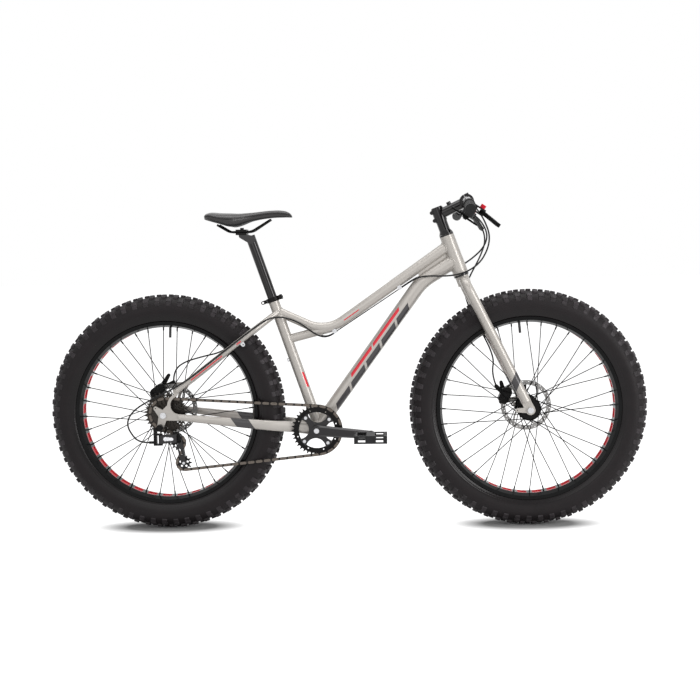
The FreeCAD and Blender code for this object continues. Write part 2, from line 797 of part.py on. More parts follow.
pod_centre = V(-30.0, 0, 14.0)
pod_top = -bracket_radius + 1.0
pod_foot = pod_top - pod_height
outlet_rise = 8.0
outlet_reach = 34.0
barrel_reach = bracket_width / 2 + 20.0
barrel_forward = 22.0
thumb_top = pod_foot - side_gap
trigger_top = thumb_top - 5.0 - side_gap


def lever_brackets():
    pieces = []
    pivot = V(0, 0, lever_pivot_forward)
    gap = lever_thickness / 2 + side_gap
    for side in (-1, 1):
        ring = rod(V(-bracket_width / 2, 0, 0), V(bracket_width / 2, 0, 0), bracket_radius)
        lugs = [strap(V(0, 0, 13.0), 8.0, pivot, 8.5, *over(side, low, low + 4.5))
                for low in (gap, -gap - 4.5)]
        web = Part.makeBox(14.0, 2 * gap + 2.0, 14.0, V(-7.0, -gap - 1.0, 12.0))
        pin = rod(V(0, -gap - 2.0, pivot.z), V(0, gap + 2.0, pivot.z), 3.0)
        low, high = over(side, gap + 4.5, gap + 15.0)
        cap = rod(V(0, low, pivot.z - 6.0), V(0, high, pivot.z - 6.0), 8.0)
        barrel = rod(V(0, 0, barrel_forward), V(-barrel_reach, 0, barrel_forward), 4.5)
        body = joined(ring, *lugs, web, pin, barrel)
        if side < 0:
            low, high = over(side, pod_foot, pod_top)
            pod = rod(pod_centre + V(0, low, 0), pod_centre + V(0, high, 0), pod_radius)
            low, high = over(side, trigger_top - 5.0 - side_gap - 3.0, pod_foot)
            post = rod(pod_centre + V(0, low, 0), pod_centre + V(0, high, 0), 3.0)
            low, high = over(side, trigger_top - 5.0 - side_gap - 3.0, trigger_top - 5.0 - side_gap)
            head = rod(pod_centre + V(0, low, 0), pod_centre + V(0, high, 0), 6.0)
            low, high = over(side, pod_foot + 2.0, -4.0)
            neck = Part.makeBox(30.0, high - low, 12.0, V(-30.0, low, 2.0))
            level = V(0, -pod_foot - outlet_rise, 0)
            outlet = rod(pod_centre + level - V(12.0, 0, 0), pod_centre + level - V(outlet_reach, 0, 0), 4.5)
            body = joined(body, pod, post, head, neck, outlet)
        bore = rod(V(-90.0, 0, 0), V(90.0, 0, 0), bar_end_radius + seat_gap)
        pieces += [at_lever(body.cut(bore), side), at_lever(cap, side)]
    save("lever_brackets", *pieces)


def brake_levers():
    for name, side in (("right", -1), ("left", 1)):
        half = lever_thickness / 2
        pivot = V(0, 0, lever_pivot_forward)
        elbow = pivot + V(26.0, 0, 14.0)
        tip = pivot + V(lever_reach, 0, lever_splay)
        hub = strap(pivot, 8.5, elbow, 7.0, -half, half)
        blade = strap(elbow, 7.0, tip, 5.5, -half, half)
        ball = rod(tip + V(0, -half, 0), tip + V(0, half, 0), 7.5)
        bore = rod(pivot + V(0, -half, 0), pivot + V(0, half, 0), 3.0 + running_gap)
        save("%s_brake_lever" % name, at_lever(joined(hub, blade, ball).cut(bore), side))


def shift_levers():
    for name, top, tip in (("shift_thumb_lever", thumb_top, V(14.0, 0, -44.0)),
                           ("shift_trigger", trigger_top, V(12.0, 0, 34.0))):
        low, high = over(-1, top - 5.0, top)
        blade = strap(pod_centre, 10.0, pod_centre + tip, 8.0, low, high)
        bore = rod(pod_centre + V(0, low, 0), pod_centre + V(0, high, 0), 3.0 + running_gap)
        save(name, at_lever(blade.cut(bore), -1))


# Wheels

rim_half = rim_width / 2
flat_half = rim_flat_width / 2
bead_side = rim_half - rim_wall - seat_gap
tyre_middle = tyre_radius - tyre_width / 2 + 1.0


def arc(first, through, last):
    return Part.Arc(V(*first, 0), V(*through, 0), V(*last, 0))


def line(first, last):
    return Part.LineSegment(V(*first, 0), V(*last, 0))


def tyre_section():
    """Casing from bead to bead, without its knobs, with the radius along X."""
    half = tyre_width / 2 - tread_side_depth
    bead = rim_edge_radius + rim_wall + 1.0
    lip = rim_flange_radius + 1.0
    crown = tyre_radius - tread_depth
    low = (bead, bead_side)
    foot = (bead, bead_side - bead_thickness)
    shoulder = 1 / sqrt(2)

    def outline(bead_y, widest, top):
        start = (lip, bead_y)
        belly = (tyre_middle, widest)
        bulge = (lip + 0.42 * (tyre_middle - lip), bead_y + 0.76 * (widest - bead_y))
        edge = (tyre_middle + shoulder * (top - tyre_middle), shoulder * widest)
        return start, bulge, belly, edge, (top, 0)

    def flip(point):
        return point[0], -point[1]

    s, b, w, e, t = outline(bead_side, half, crown)
    si, bi, wi, ei, ti = outline(bead_side - bead_thickness, half - casing_wall, crown - casing_wall)
    edges = [
        line(low, s), arc(s, b, w), arc(w, e, t),
        arc(t, flip(e), flip(w)), arc(flip(w), flip(b), flip(s)), line(flip(s), flip(low)),
        line(flip(low), flip(foot)), line(flip(foot), flip(si)), arc(flip(si), flip(bi), flip(wi)),
        arc(flip(wi), flip(ei), ti), arc(ti, ei, wi), arc(wi, bi, si), line(si, foot), line(foot, low)]
    return Part.Face(Part.Wire([edge.toShape() for edge in edges]))


def knob(first, last, length):
    """Knob at the top of the tyre, over a range of profile angles, with its root sunk in the casing."""
    def across(angle, depth, side_depth):
        rise = tyre_radius - tyre_middle - depth
        half = tyre_width / 2 - side_depth
        return V(-length / 2, half * sin(radians(angle)), tyre_middle + rise * cos(radians(angle)))

    angles = (first, (first + last) / 2, last)
    top = [across(angle, 0, 0) for angle in angles]
    root = [across(angle, tread_depth + knob_root, tread_side_depth + knob_root) for angle in angles]
    edges = [Part.Arc(*top), Part.LineSegment(top[2], root[2]),
             Part.Arc(*reversed(root)), Part.LineSegment(root[0], top[0])]
    return Part.Face(Part.Wire([edge.toShape() for edge in edges])).extrude(V(length, 0, 0))


def tyre_shape():
    """Casing with two staggered rows of knobs on each side: one sector, repeated round the wheel."""
    in_sector = round(knob_count / tread_sectors)
    span = 360.0 / tread_sectors
    step = span / in_sector
    cuts = (-step / 4, span - step / 4)
    sector = turned(tyre_section().revolve(ORIGIN, Y_AXIS, span), cuts[0] - 90.0)
    knobs = []
    for first, last, length, shift in (
            (crown_knob_from, crown_knob_to, crown_knob_length, 0.0),
            (shoulder_knob_from, shoulder_knob_to, shoulder_knob_length, 0.5)):
        left = knob(first, last, length)
        right = knob(-first, -last, length)
        for index in range(in_sector):
            knobs.append(turned(left, (index + shift) * step))
            knobs.append(turned(right, (index + 0.5 - shift) * step))

    def on_cut(face, angle):
        across = polar(1.0, angle + 90.0, 0)
        return all(abs(corner.Point.dot(across)) < 0.001 for corner in face.Vertexes)

    skin = [face for face in sector.fuse(knobs).Faces if not any(on_cut(face, angle) for angle in cuts)]
    shell = Part.Shell([turned(face, index * span) for index in range(tread_sectors) for face in skin])
    shell.sewShape()
    return Part.Solid(shell)


tyre_solid = tyre_shape()


def rim_shape():
    inner = rim_half - rim_wall
    rise = rim_bed_radius + rim_wall
    shape = spun([
        (rim_edge_radius, -rim_half), (rim_bed_radius, -flat_half), (rim_bed_radius, flat_half),
        (rim_edge_radius, rim_half), (rim_flange_radius, rim_half), (rim_flange_radius, inner),
        (rim_edge_radius + rim_wall, inner), (rise, flat_half), (rise, -flat_half),
        (rim_edge_radius + rim_wall, -inner), (rim_flange_radius, -inner), (rim_flange_radius, -rim_half)])
    step = 360.0 / spoke_count
    valve_hole = valve_radius + seat_gap
    cuts = [rod(polar(rim_bed_radius - 5.0, 0, 0), polar(rim_bed_radius + 9.0, 0, 0), valve_hole)]
    box = Part.makeBox(window_length, window_width, 12.0,
                       V(-window_length / 2, -window_width / 2, rim_bed_radius - 4.0))
    for index in range(1, spoke_count):
        cuts.append(turned(box, index * step))
    return shape.cut(cuts)


def strip_and_tube():
    low = rim_bed_radius + rim_wall + seat_gap
    half = flat_half - 1.0
    hole = rod(polar(low - 2.0, 0, 0), polar(low + 2.0, 0, 0), valve_radius + seat_gap)
    high = low + strip_thickness
    strip = spun([(low, -half), (low, half), (high, half), (high, -half)]).cut(hole)
    middle = high + 6.0 + tube_radius
    outer = Part.makeTorus(middle, tube_radius, ORIGIN, Y_AXIS)
    air = Part.makeTorus(middle, tube_radius - tube_wall_thickness, ORIGIN, Y_AXIS)
    valve_end = polar(rim_bed_radius - valve_length, 0, 0)
    valve = rod(valve_end, polar(middle - tube_radius + 1.0, 0, 0), valve_radius)
    return strip, joined(outer, valve).cut(air)


def spokes(left_flange, right_flange, flange_radius):
    step = 360.0 / spoke_count
    hole_circle = flange_radius - 4.5
    beside = flange_thickness / 2 + spoke_radius + spoke_flange_gap
    kinds = {}
    for side, flange in ((-1, right_flange), (1, left_flange)):
        for lead in (-1, 1):
            hub = polar(hole_circle, lead * spoke_cross_angle, flange + lead * beside)
            head = aside(hub, flange - lead * (flange_thickness / 2 + seat_gap))
            rim = polar(rim_bed_radius - nipple_gap, 0, side * spoke_stagger)
            inward = (hub - rim).normalize()
            kinds[side, lead] = joined(
                rod(hub, rim, spoke_radius), rod(hub, head, spoke_radius),
                Part.makeSphere(spoke_radius, hub), rod(head, aside(head, head.y - lead * 1.6), 2.0),
                rod(rim, rim + inward * nipple_length, nipple_radius))
    pieces = []
    for index in range(spoke_count):
        side = -1 if index % 2 == 0 else 1
        lead = 1 if (index // 2) % 2 == 0 else -1
        pieces.append(turned(kinds[side, lead], (index + 0.5) * step))
    return pieces


def hub(left_flange, right_flange, flange_radius, left_end, right_end, rotor_y):
    thick = flange_thickness / 2
    bore = bearing_radius + running_gap
    rotor_face = rotor_y - rotor_thickness / 2
    shape = spun([
        (bore, right_end), (hub_end_radius, right_end), (hub_end_radius + 3.0, right_flange - thick),
        (flange_radius, right_flange - thick), (flange_radius, right_flange + thick),
        (hub_barrel_radius + 4.0, right_flange + thick), (hub_barrel_radius, right_flange + thick + 5.0),
        (hub_barrel_radius, left_flange - thick - 5.0), (hub_barrel_radius + 4.0, left_flange - thick),
        (flange_radius, left_flange - thick), (flange_radius, left_flange + thick),
        (rotor_bolt_circle + 4.5, left_flange + thick), (rotor_bolt_circle + 4.5, rotor_face),
        (rotor_pilot - seat_gap, rotor_face), (rotor_pilot - seat_gap, left_end), (bore, left_end)])
    step = 720.0 / spoke_count
    holes = []
    for index in range(spoke_count // 2):
        for flange, offset in ((right_flange, 0.25), (left_flange, 0.75)):
            point = polar(flange_radius - 4.5, (index + offset) * step, 0)
            low_end = flange - thick - 1.0
            holes.append(cross_rod(point, low_end, flange + thick + 1.0, spoke_radius + seat_gap))
    pieces = [shape.cut(holes)]
    for low in (right_end, left_end - bearing_width):
        high = low + bearing_width
        pieces.append(cross_tube(ORIGIN, low, high, bearing_radius, axle_radius + running_gap))
    return pieces


def rotor(rotor_y):
    low = rotor_y - rotor_thickness / 2
    disc = cross_tube(ORIGIN, low, low + rotor_thickness, rotor_radius, rotor_pilot)
    track = rotor_radius - 15.0
    hub_ring = rotor_bolt_circle + 8.0
    cuts = []
    for index in range(6):
        window = strap(polar(hub_ring + 13.0, 13.0, 0), 8.0,
                       polar(track - 12.0, -10.0, 0), 10.0, low - 1.0, low + 3.0)
        cuts.append(turned(window, index * 60.0 + 30.0))
    for index in range(30):
        radius = rotor_radius - (4.5 if index % 2 == 0 else 9.5)
        hole = cross_rod(polar(radius, index * 12.0, 0), low - 1.0, low + 3.0, 2.2)
        cuts.append(hole)
    pieces = [disc.cut(cuts)]
    for index in range(6):
        seat = polar(rotor_bolt_circle, index * 60.0, 0)
        pieces.append(cross_rod(seat, low + rotor_thickness, low + rotor_thickness + 2.8, 3.8))
    return pieces


def wheel(name, axle, valve_angle, left_flange, right_flange, flange_radius, left_end, right_end, rotor_y):
    def saved(node, pieces):
        save("%s_%s" % (name, node), *[turned(piece, valve_angle).translated(axle) for piece in pieces])

    saved("tyre", [tyre_solid])
    saved("rim", [rim_shape()])
    saved("inner_tube", strip_and_tube())
    saved("spokes", spokes(left_flange, right_flange, flange_radius))
    saved("hub", hub(left_flange, right_flange, flange_radius, left_end, right_end, rotor_y))
    saved("rotor", rotor(rotor_y))


hub_clear = 10.0
front_hub_end = front_spacing / 2 - hub_clear
rear_hub_left = rear_spacing / 2 - hub_clear
rear_hub_right = rear_right_flange - 6.0


def axle_pieces(axle, spacing, plate, left_hub_end, right_hub_end):
    """Axle with its two locknuts and the right-hand nut; the ends lie outside the dropouts."""
    half = spacing / 2
    shaft = cross_rod(axle, -half - plate - axle_nut_height, half + plate + axle_nut_height, axle_radius)
    locknuts = [cross_rod(axle, left_hub_end + side_gap, half, locknut_radius),
                cross_rod(axle, -half, right_hub_end - side_gap, locknut_radius)]
    nut = cross_rod(axle, -half - plate - axle_nut_height, -half - plate, axle_nut_radius)
    return [shaft, *locknuts, nut], half + plate


def axles():
    pieces, outside = axle_pieces(rear_axle, rear_spacing, rear_dropout, rear_hub_left, freehub_foot)
    pieces.append(cross_rod(rear_axle, outside, outside + axle_nut_height, axle_nut_radius))
    save("rear_axle", joined(*pieces))
    pieces, outside = axle_pieces(front_axle, front_spacing, front_dropout, front_hub_end, -front_hub_end)
    pieces[0] = cross_rod(front_axle, -outside - axle_nut_height, outside + 4.0, axle_radius)
    pieces.append(cross_rod(front_axle, outside, outside + 4.0, axle_nut_radius))
    pieces.append(lever_lugs(aside(front_axle, outside + 4.0), X_AXIS, 6.4, 8.0))
    save("front_axle", joined(*pieces))
    pivot = aside(front_axle, outside + 12.0)
    save("front_qr_lever", placed(cam_lever(64.0), pivot, X_AXIS, Z_AXIS))


# Drive

def pitch_radius(teeth):
    return chain_pitch / (2 * sin(pi / teeth))


def sprocket(teeth, thickness, phase):
    """Toothed disc round Y; phase is the angle in the XZ plane of one gap between teeth."""
    pitch = pitch_radius(teeth)
    corners = []
    for index in range(teeth):
        middle = phase + 2 * pi * (index + 0.5) / teeth
        for rise, half in ((-4.3, -3.5), (0, -1.9), (3.0, -0.8), (3.0, 0.8), (0, 1.9), (-4.3, 3.5)):
            radius = pitch + rise
            angle = middle + half / radius
            corners.append(V(radius * cos(angle), -thickness / 2, radius * sin(angle)))
    face = Part.Face(Part.makePolygon(corners + corners[:1]))
    return face.extrude(V(0, thickness, 0))


def tangent(first, first_radius, first_sign, second, second_radius, second_sign):
    """Chain run from one wheel to the next: heading, leaving point and landing point."""
    span = second - first
    shift = second_sign * second_radius - first_sign * first_radius
    heading = atan2(span.z, span.x) + asin(shift / hypot(span.x, span.z))
    right = V(sin(heading), 0, -cos(heading))
    leaves = first - right * (first_sign * first_radius)
    meets = second - right * (second_sign * second_radius)
    return heading, leaves, meets


cage_pivot = hanger + V(link_base_forward + link_forward + cage_pivot_forward, 0, -link_base_down)
chain_wheels = (("cog", engaged_cog, 1), ("ring", ring_teeth, 1), ("tension", pulley_teeth, 1),
                ("guide", pulley_teeth, -1))


def wheel_centres(cage_angle):
    def swung(x, z):
        ahead = x * cos(cage_angle) - z * sin(cage_angle)
        above = x * sin(cage_angle) + z * cos(cage_angle)
        return cage_pivot + V(ahead, 0, above)

    return {"cog": rear_axle, "ring": bracket_axis, "tension": swung(tension_forward, -tension_below_pivot),
            "guide": swung(0, -guide_below_pivot)}


def chain_route(cage_angle):
    """Runs and wraps of the chain in order, each with its length in pitches."""
    centres = wheel_centres(cage_angle)
    runs = []
    for index, (name, teeth, sign) in enumerate(chain_wheels):
        after, after_teeth, after_sign = chain_wheels[(index + 1) % len(chain_wheels)]
        runs.append(tangent(centres[name], pitch_radius(teeth), sign,
                            centres[after], pitch_radius(after_teeth), after_sign))
    route = []
    for index, (name, teeth, sign) in enumerate(chain_wheels):
        arriving = runs[index - 1][0]
        leaving, start, end = runs[index]
        wrap = (sign * (arriving - leaving)) % (2 * pi)
        landing = runs[index - 1][2] - centres[name]
        route.append(("wrap", name, atan2(landing.z, landing.x), sign, teeth, wrap * teeth / (2 * pi)))
        route.append(("run", start, end - start, (end - start).Length / chain_pitch))
    return centres, route


def route_length(cage_angle):
    return sum(step[-1] for step in chain_route(cage_angle)[1])


def solved_cage_angle():
    """Swing of the cage that takes up the slack to a whole even number of links."""
    links = 2 * round(route_length(0) / 2)
    low, high = -0.5, 0.5
    rising = route_length(high) > route_length(low)
    for _ in range(60):
        middle = (low + high) / 2
        if (route_length(middle) < links) == rising:
            low = middle
        else:
            high = middle
    return (low + high) / 2, links


cage_angle, link_count = solved_cage_angle()
wheel_centre, chain_steps = chain_route(cage_angle)


def roller_places():
    """Centres of all rollers, and for each wheel the angle of one roller that lies on it."""
    places = []
    phases = {}
    start = 0.0
    for step in chain_steps:
        length = step[-1]
        while len(places) < link_count and len(places) < start + length - 1e-9:
            along = len(places) - start
            if step[0] == "run":
                places.append(step[1] + step[2] * (along / length))
            else:
                _, name, angle, sign, teeth, _ = step
                here = angle - sign * along * 2 * pi / teeth
                phases.setdefault(name, here)
                radius = pitch_radius(teeth)
                places.append(wheel_centre[name] + V(radius * cos(here), 0, radius * sin(here)))
        start += length
    return places, phases


rollers, gap_phase = roller_places()


def chain():
    pitch = V(chain_pitch, 0, 0)
    low = inner_link_half
    mid = low + plate_thickness
    outer = mid + link_play
    top = outer + plate_thickness
    plate = strap(ORIGIN, plate_end_radius, pitch, plate_end_radius, low, mid)
    cover = strap(ORIGIN, plate_end_radius, pitch, plate_end_radius, outer, top)
    barrels = [cross_rod(point, -low, low, roller_radius) for point in (ORIGIN, pitch)]
    bores = [cross_rod(point, -top, top, pin_radius + running_gap) for point in (ORIGIN, pitch)]
    pins = [cross_rod(point, -top, top, pin_radius) for point in (ORIGIN, pitch)]
    inner_link = joined(plate, mirrored(plate), *barrels).cut(bores)
    outer_link = joined(cover, mirrored(cover), *pins)
    links = []
    for index, place in enumerate(rollers):
        after = rollers[(index + 1) % link_count]
        along = (after - place).normalize()
        link = inner_link if index % 2 == 0 else outer_link
        links.append(placed(link, aside(place, -chain_line), along, V(-along.z, 0, along.x)))
    save("chain", *links)


outer_cog_y = -chain_line - cog_spacing * cog_teeth.index(engaged_cog)
freehub_foot = outer_cog_y - 3.8
freehub_root = rear_hub_right - side_gap


def cassette():
    axle_bore = axle_radius + running_gap
    pieces = [cross_tube(rear_axle, freehub_foot + 2.2, freehub_root, freehub_radius, axle_bore)]
    for index, teeth in enumerate(cog_teeth):
        phase = gap_phase["cog"] if teeth == engaged_cog else 0.0
        cog = sprocket(teeth, sprocket_thickness, phase)
        bore = cross_rod(ORIGIN, -5.0, 5.0, freehub_radius + seat_gap)
        cog = cog.cut(bore)
        holes = []
        rim = pitch_radius(teeth) - 8.0
        if rim - freehub_radius > 14.0:
            middle = (rim + freehub_radius + 3.0) / 2
            size = (rim - freehub_radius - 3.0) / 2 - 1.0
            holes = [cross_rod(polar(middle, 60.0 * turn, 0), -5.0, 5.0, size) for turn in range(6)]
            cog = cog.cut(holes)
        pieces.append(cog.translated(aside(rear_axle, outer_cog_y + index * cog_spacing)))
    lockring = cross_tube(rear_axle, freehub_foot, freehub_foot + 2.1,
                          freehub_radius + 1.0, locknut_radius + 1.0)
    save("cassette", *pieces, lockring)


crank_turn = degrees(pi / 2 - crank_angle)


def spider_windows(first_angle, y_start, y_end):
    """Four round cuts between the arms of the spider."""
    return [cross_rod(polar(spider_window_out, first_angle + 90.0 * index, 0),
                      y_start, y_end, spider_window_radius)
            for index in range(4)]


def bolt_seats(first_angle):
    return [polar(bolt_circle_radius, first_angle + 45.0 + 90.0 * index, 0) for index in range(4)]


def chainring():
    inside = pitch_radius(ring_teeth) - ring_band
    half = sprocket_thickness / 2
    hollow = cross_rod(ORIGIN, -half, half, inside)
    ring = sprocket(ring_teeth, sprocket_thickness, gap_phase["ring"]).cut(hollow)
    tabs = hollow.cut([cross_rod(ORIGIN, -half, half, bolt_circle_radius - 8.0),
                       *spider_windows(crank_turn, -half, half)])
    bolts = [cross_rod(seat, half, half + 2.5, bolt_head_radius) for seat in bolt_seats(crank_turn)]
    holes = [cross_rod(polar(inside + ring_band / 3, crank_turn + 22.5 + 45.0 * index, 0), -half, half, 2.2)
             for index in range(8)]
    ring = joined(ring, *tabs.Solids).cut(holes)
    centre = aside(bracket_axis, -chain_line)
    save("chainring", *[piece.translated(centre) for piece in (ring, *bolts)])


crank_root = chain_line + sprocket_thickness / 2
crank_inner = crank_root + 4.6
pedal_inner = crank_inner + crank_flare


def crank_section(distance, inner, height):
    half = height / 2
    outer = inner + crank_thickness
    edge = outer - crank_bevel
    corners = [V(distance, y, z) for y, z in (
        (inner, -half), (edge, -half), (outer, crank_bevel - half),
        (outer, half - crank_bevel), (edge, half), (inner, half))]
    return Part.makePolygon(corners + corners[:1])


def crank_arm(spider):
    """Left-hand arm along X with its spindle at the origin."""
    end = V(crank_length, 0, 0)
    arm = Part.makeLoft([crank_section(0, crank_inner, crank_height),
                         crank_section(crank_length, pedal_inner, crank_end_height)], True)
    boss = cross_rod(ORIGIN, crank_root + 0.1, crank_inner + crank_thickness, crank_boss_radius)
    eye = cross_rod(end, pedal_inner, pedal_inner + crank_thickness, crank_end_height / 2 + 1.0)
    pieces = [boss, eye]
    if spider:
        face = crank_root + spider_thickness
        plate = cross_rod(ORIGIN, crank_root, face, spider_radius)
        pieces.append(plate.cut(spider_windows(0, crank_root, face)))
    outer = crank_inner + crank_thickness
    pedal_bore = pedal_axle_radius + 1.0 + seat_gap
    bores = [cross_rod(ORIGIN, 0, outer + 1.0, spindle_radius + seat_gap),
             cross_rod(end, pedal_inner - 1.0, pedal_inner + crank_thickness + 1.0, pedal_bore)]
    return joined(arm, *pieces).cut(bores)


def cranks():
    left = placed(crank_arm(False), bracket_axis, -crank_out, Y_AXIS.cross(-crank_out) * -1)
    right_drawn = mirrored(crank_arm(True))
    right = placed(right_drawn, bracket_axis, crank_out, Y_AXIS.cross(crank_out) * -1)
    save("crank_arms", right, left)
    outer = crank_inner + crank_thickness
    spindle = cross_rod(bracket_axis, -outer + 4.0, outer - 4.0, spindle_radius)
    pieces = [spindle]
    face = -crank_root - spider_thickness
    for seat in bolt_seats(crank_turn):
        head = cross_rod(bracket_axis + seat, face - 2.0, face, bolt_head_radius)
        pieces.append(head.cut(cross_rod(bracket_axis + seat, face - 2.0, face - 0.8, bolt_head_radius / 2)))
    for side in (-1, 1):
        cap_end = side * (outer + 1.5)
        pieces.append(cross_rod(bracket_axis, side * (outer - 4.0), cap_end, spindle_radius - 1.0))
    for side in (-1, 1):
        centre = bracket_axis - crank_out * (side * crank_length)
        root = pedal_inner + crank_thickness
        screw = cross_rod(centre, side * pedal_inner, side * root, pedal_axle_radius + 1.0)
        shaft_end = root + pedal_from_crank + pedal_width - 12.0
        collar_end = root + pedal_from_crank - side_gap
        axle = cross_rod(centre, side * root, side * shaft_end, pedal_axle_radius)
        collar = cross_rod(centre, side * root, side * collar_end, pedal_axle_radius + 2.0)
        pieces.append(joined(screw, axle, collar))
    save("crank_axles", *pieces)


def pedal():
    """Left-hand pedal with its axle at the origin and its inner face at y = 0."""
    half = pedal_length / 2
    rise = pedal_height / 2
    body = Part.makeBox(pedal_length, pedal_width, pedal_height, V(-half, 0, -rise))
    barrel = 13.0
    wide = half - barrel - pedal_bar
    cuts = [cross_rod(ORIGIN, 0, pedal_width - 8.0, pedal_axle_radius + running_gap)]
    for x in (-half + pedal_bar, barrel):
        cuts.append(Part.makeBox(wide, pedal_width - 2 * pedal_bar, pedal_height, V(x, pedal_bar, -rise)))
        cuts.append(Part.makeBox(wide - 6.0, pedal_width, 7.0, V(x + 3.0, 0, -rise + 4.0)))
        cuts.append(Part.makeBox(wide - 6.0, pedal_width, 4.5, V(x + 3.0, 0, rise - 8.0)))
    for index in range(6):
        y = pedal_bar + (index + 0.5) * (pedal_width - 2 * pedal_bar) / 6
        for x in (-half, half - 4.0):
            cuts.append(Part.makeBox(4.0, 6.0, 4.0, V(x, y - 3.0, rise - 3.0)))
            cuts.append(Part.makeBox(4.0, 6.0, 4.0, V(x, y - 3.0, -rise - 1.0)))
    return body.cut(cuts)


def pedals():
    inner = pedal_inner + crank_thickness + pedal_from_crank
    left = pedal()
    save("left_pedal", left.translated(bracket_axis - crank_out * crank_length + V(0, inner, 0)))
    save("right_pedal", mirrored(left).translated(bracket_axis + crank_out * crank_length - V(0, inner, 0)))


# Derailleur

link_base = hanger + V(link_base_forward, -dropout_outer - link_out, -link_base_down)
link_tip = link_base + V(link_forward, link_inward, 0)
lug_thickness = 5.0
link_round = 6.5
link_back = 16.0
derailleur_inlet = link_base - V(link_back + 20.0, 0, link_height / 2 - 4.0)


def plan(point):
    return V(point.x, point.y, 0)


def upright(point, low, high, radius):
    return rod(point + V(0, 0, low), point + V(0, 0, high), radius)


def flat_arm(first, second, radius, low, high):
    """Round-ended plate lying in the XY plane between two points."""
    drawn = strap(ORIGIN, radius, V((second - first).Length, 0, 0), radius, low, high)
    along = (second - first).normalize()
    return placed(drawn, first, along, along.cross(Z_AXIS))


def derailleur():
    half = link_height / 2
    top = link_base.z + half + side_gap
    foot = link_base.z - half - side_gap
    knuckle = cross_rod(hanger, -dropout_outer - 16.0, -dropout_outer, 10.5)
    cap = cross_rod(hanger, -dropout_outer - 18.0, -dropout_outer - 16.0, 6.5)
    back = link_base - V(link_back, 0, 0)
    spine = Part.makeBox(10.0, 14.0, hanger.z - foot + lug_thickness,
                         V(back.x - 5.0, back.y - 7.0, foot - lug_thickness))
    shelf_top = flat_arm(plan(back), plan(link_base), link_round, top, top + lug_thickness)
    shelf_foot = flat_arm(plan(back), plan(link_base), link_round, foot - lug_thickness, foot)
    pin = upright(plan(link_base), foot - 1.0, top + 1.0, 2.5)
    barrel = rod(derailleur_inlet + V(20.0, 0, 0), derailleur_inlet, 4.2)
    save("derailleur_body", joined(knuckle, cap, spine, shelf_top, shelf_foot, pin, barrel))

    link = flat_arm(plan(link_base), plan(link_tip), link_round, link_base.z - half, link_base.z + half)
    holes = [upright(plan(point), foot, top, 2.5 + running_gap) for point in (link_base, link_tip)]
    save("derailleur_link", link.cut(holes))

    barrel_out = -chain_line - cage_half_width - cage_plate - side_gap
    housing = cross_rod(cage_pivot, link_tip.y + link_round + 2.0, barrel_out, 12.0)
    reach = V(cage_pivot.x, link_tip.y + link_round + 6.0, 0)
    arms = [flat_arm(plan(link_tip), reach, link_round, low, low + lug_thickness)
            for low in (top, foot - lug_thickness)]
    bridge = Part.makeBox(13.0, 6.0, top - foot + 2 * lug_thickness,
                          V(cage_pivot.x - 6.5, link_tip.y + link_round + 2.0, foot - lug_thickness))
    tip_pin = upright(plan(link_tip), foot - 1.0, top + 1.0, 2.5)
    bore = cross_rod(cage_pivot, barrel_out - 10.0, barrel_out, 4.0 + running_gap)
    save("derailleur_knuckle", joined(housing, *arms, bridge, tip_pin).cut(bore))


def derailleur_cage():
    guide = wheel_centre["guide"]
    tension = wheel_centre["tension"]
    outer = -chain_line - cage_half_width
    inner = -chain_line + cage_half_width
    plates = []
    for low in (outer - cage_plate, inner):
        high = low + cage_plate
        plates.append(joined(strap(guide, 13.0, tension, 11.0, low, high),
                             strap(cage_pivot, 10.0, guide, 12.0, low, high)))
    pivot_top = outer - cage_plate - 9.0
    pins = [cross_rod(point, outer - 0.5, inner + 0.5, 2.5) for point in (guide, tension)]
    stud = cross_rod(cage_pivot, pivot_top, outer - 0.5, 4.0)
    save("derailleur_cage", joined(*plates, *pins, stud))
    for name in ("guide", "tension"):
        wheel_disc = sprocket(pulley_teeth, sprocket_thickness, gap_phase[name])
        bush = cross_rod(ORIGIN, -cage_half_width + side_gap, cage_half_width - side_gap, 6.0)
        bore = cross_rod(ORIGIN, -cage_half_width, cage_half_width, 2.5 + running_gap)
        holes = [cross_rod(polar(12.0, 72.0 * turn, 0), -3.0, 3.0, 3.4) for turn in range(5)]
        pulley = joined(wheel_disc, bush).cut([bore, *holes])
        save("%s_pulley" % name, pulley.translated(aside(wheel_centre[name], -chain_line)))


# Brakes

def arm_point(axle, angle, lean, distance):
    return ear_points(axle, angle)[0] + V(cos(angle + lean), 0, sin(angle + lean)) * distance


front_arm_tip = arm_point(front_axle, front_caliper_angle, front_arm_lean, front_arm_length)
rear_arm_tip = arm_point(rear_axle, rear_caliper_angle, rear_arm_lean, rear_arm_length)
front_housing_stop = arm_point(front_axle, front_caliper_angle, front_arm_lean + 0.5, front_arm_length)
rear_housing_stop = arm_point(rear_axle, rear_caliper_angle, rear_arm_lean - 0.5, rear_arm_length)
stop_depth = 8.5


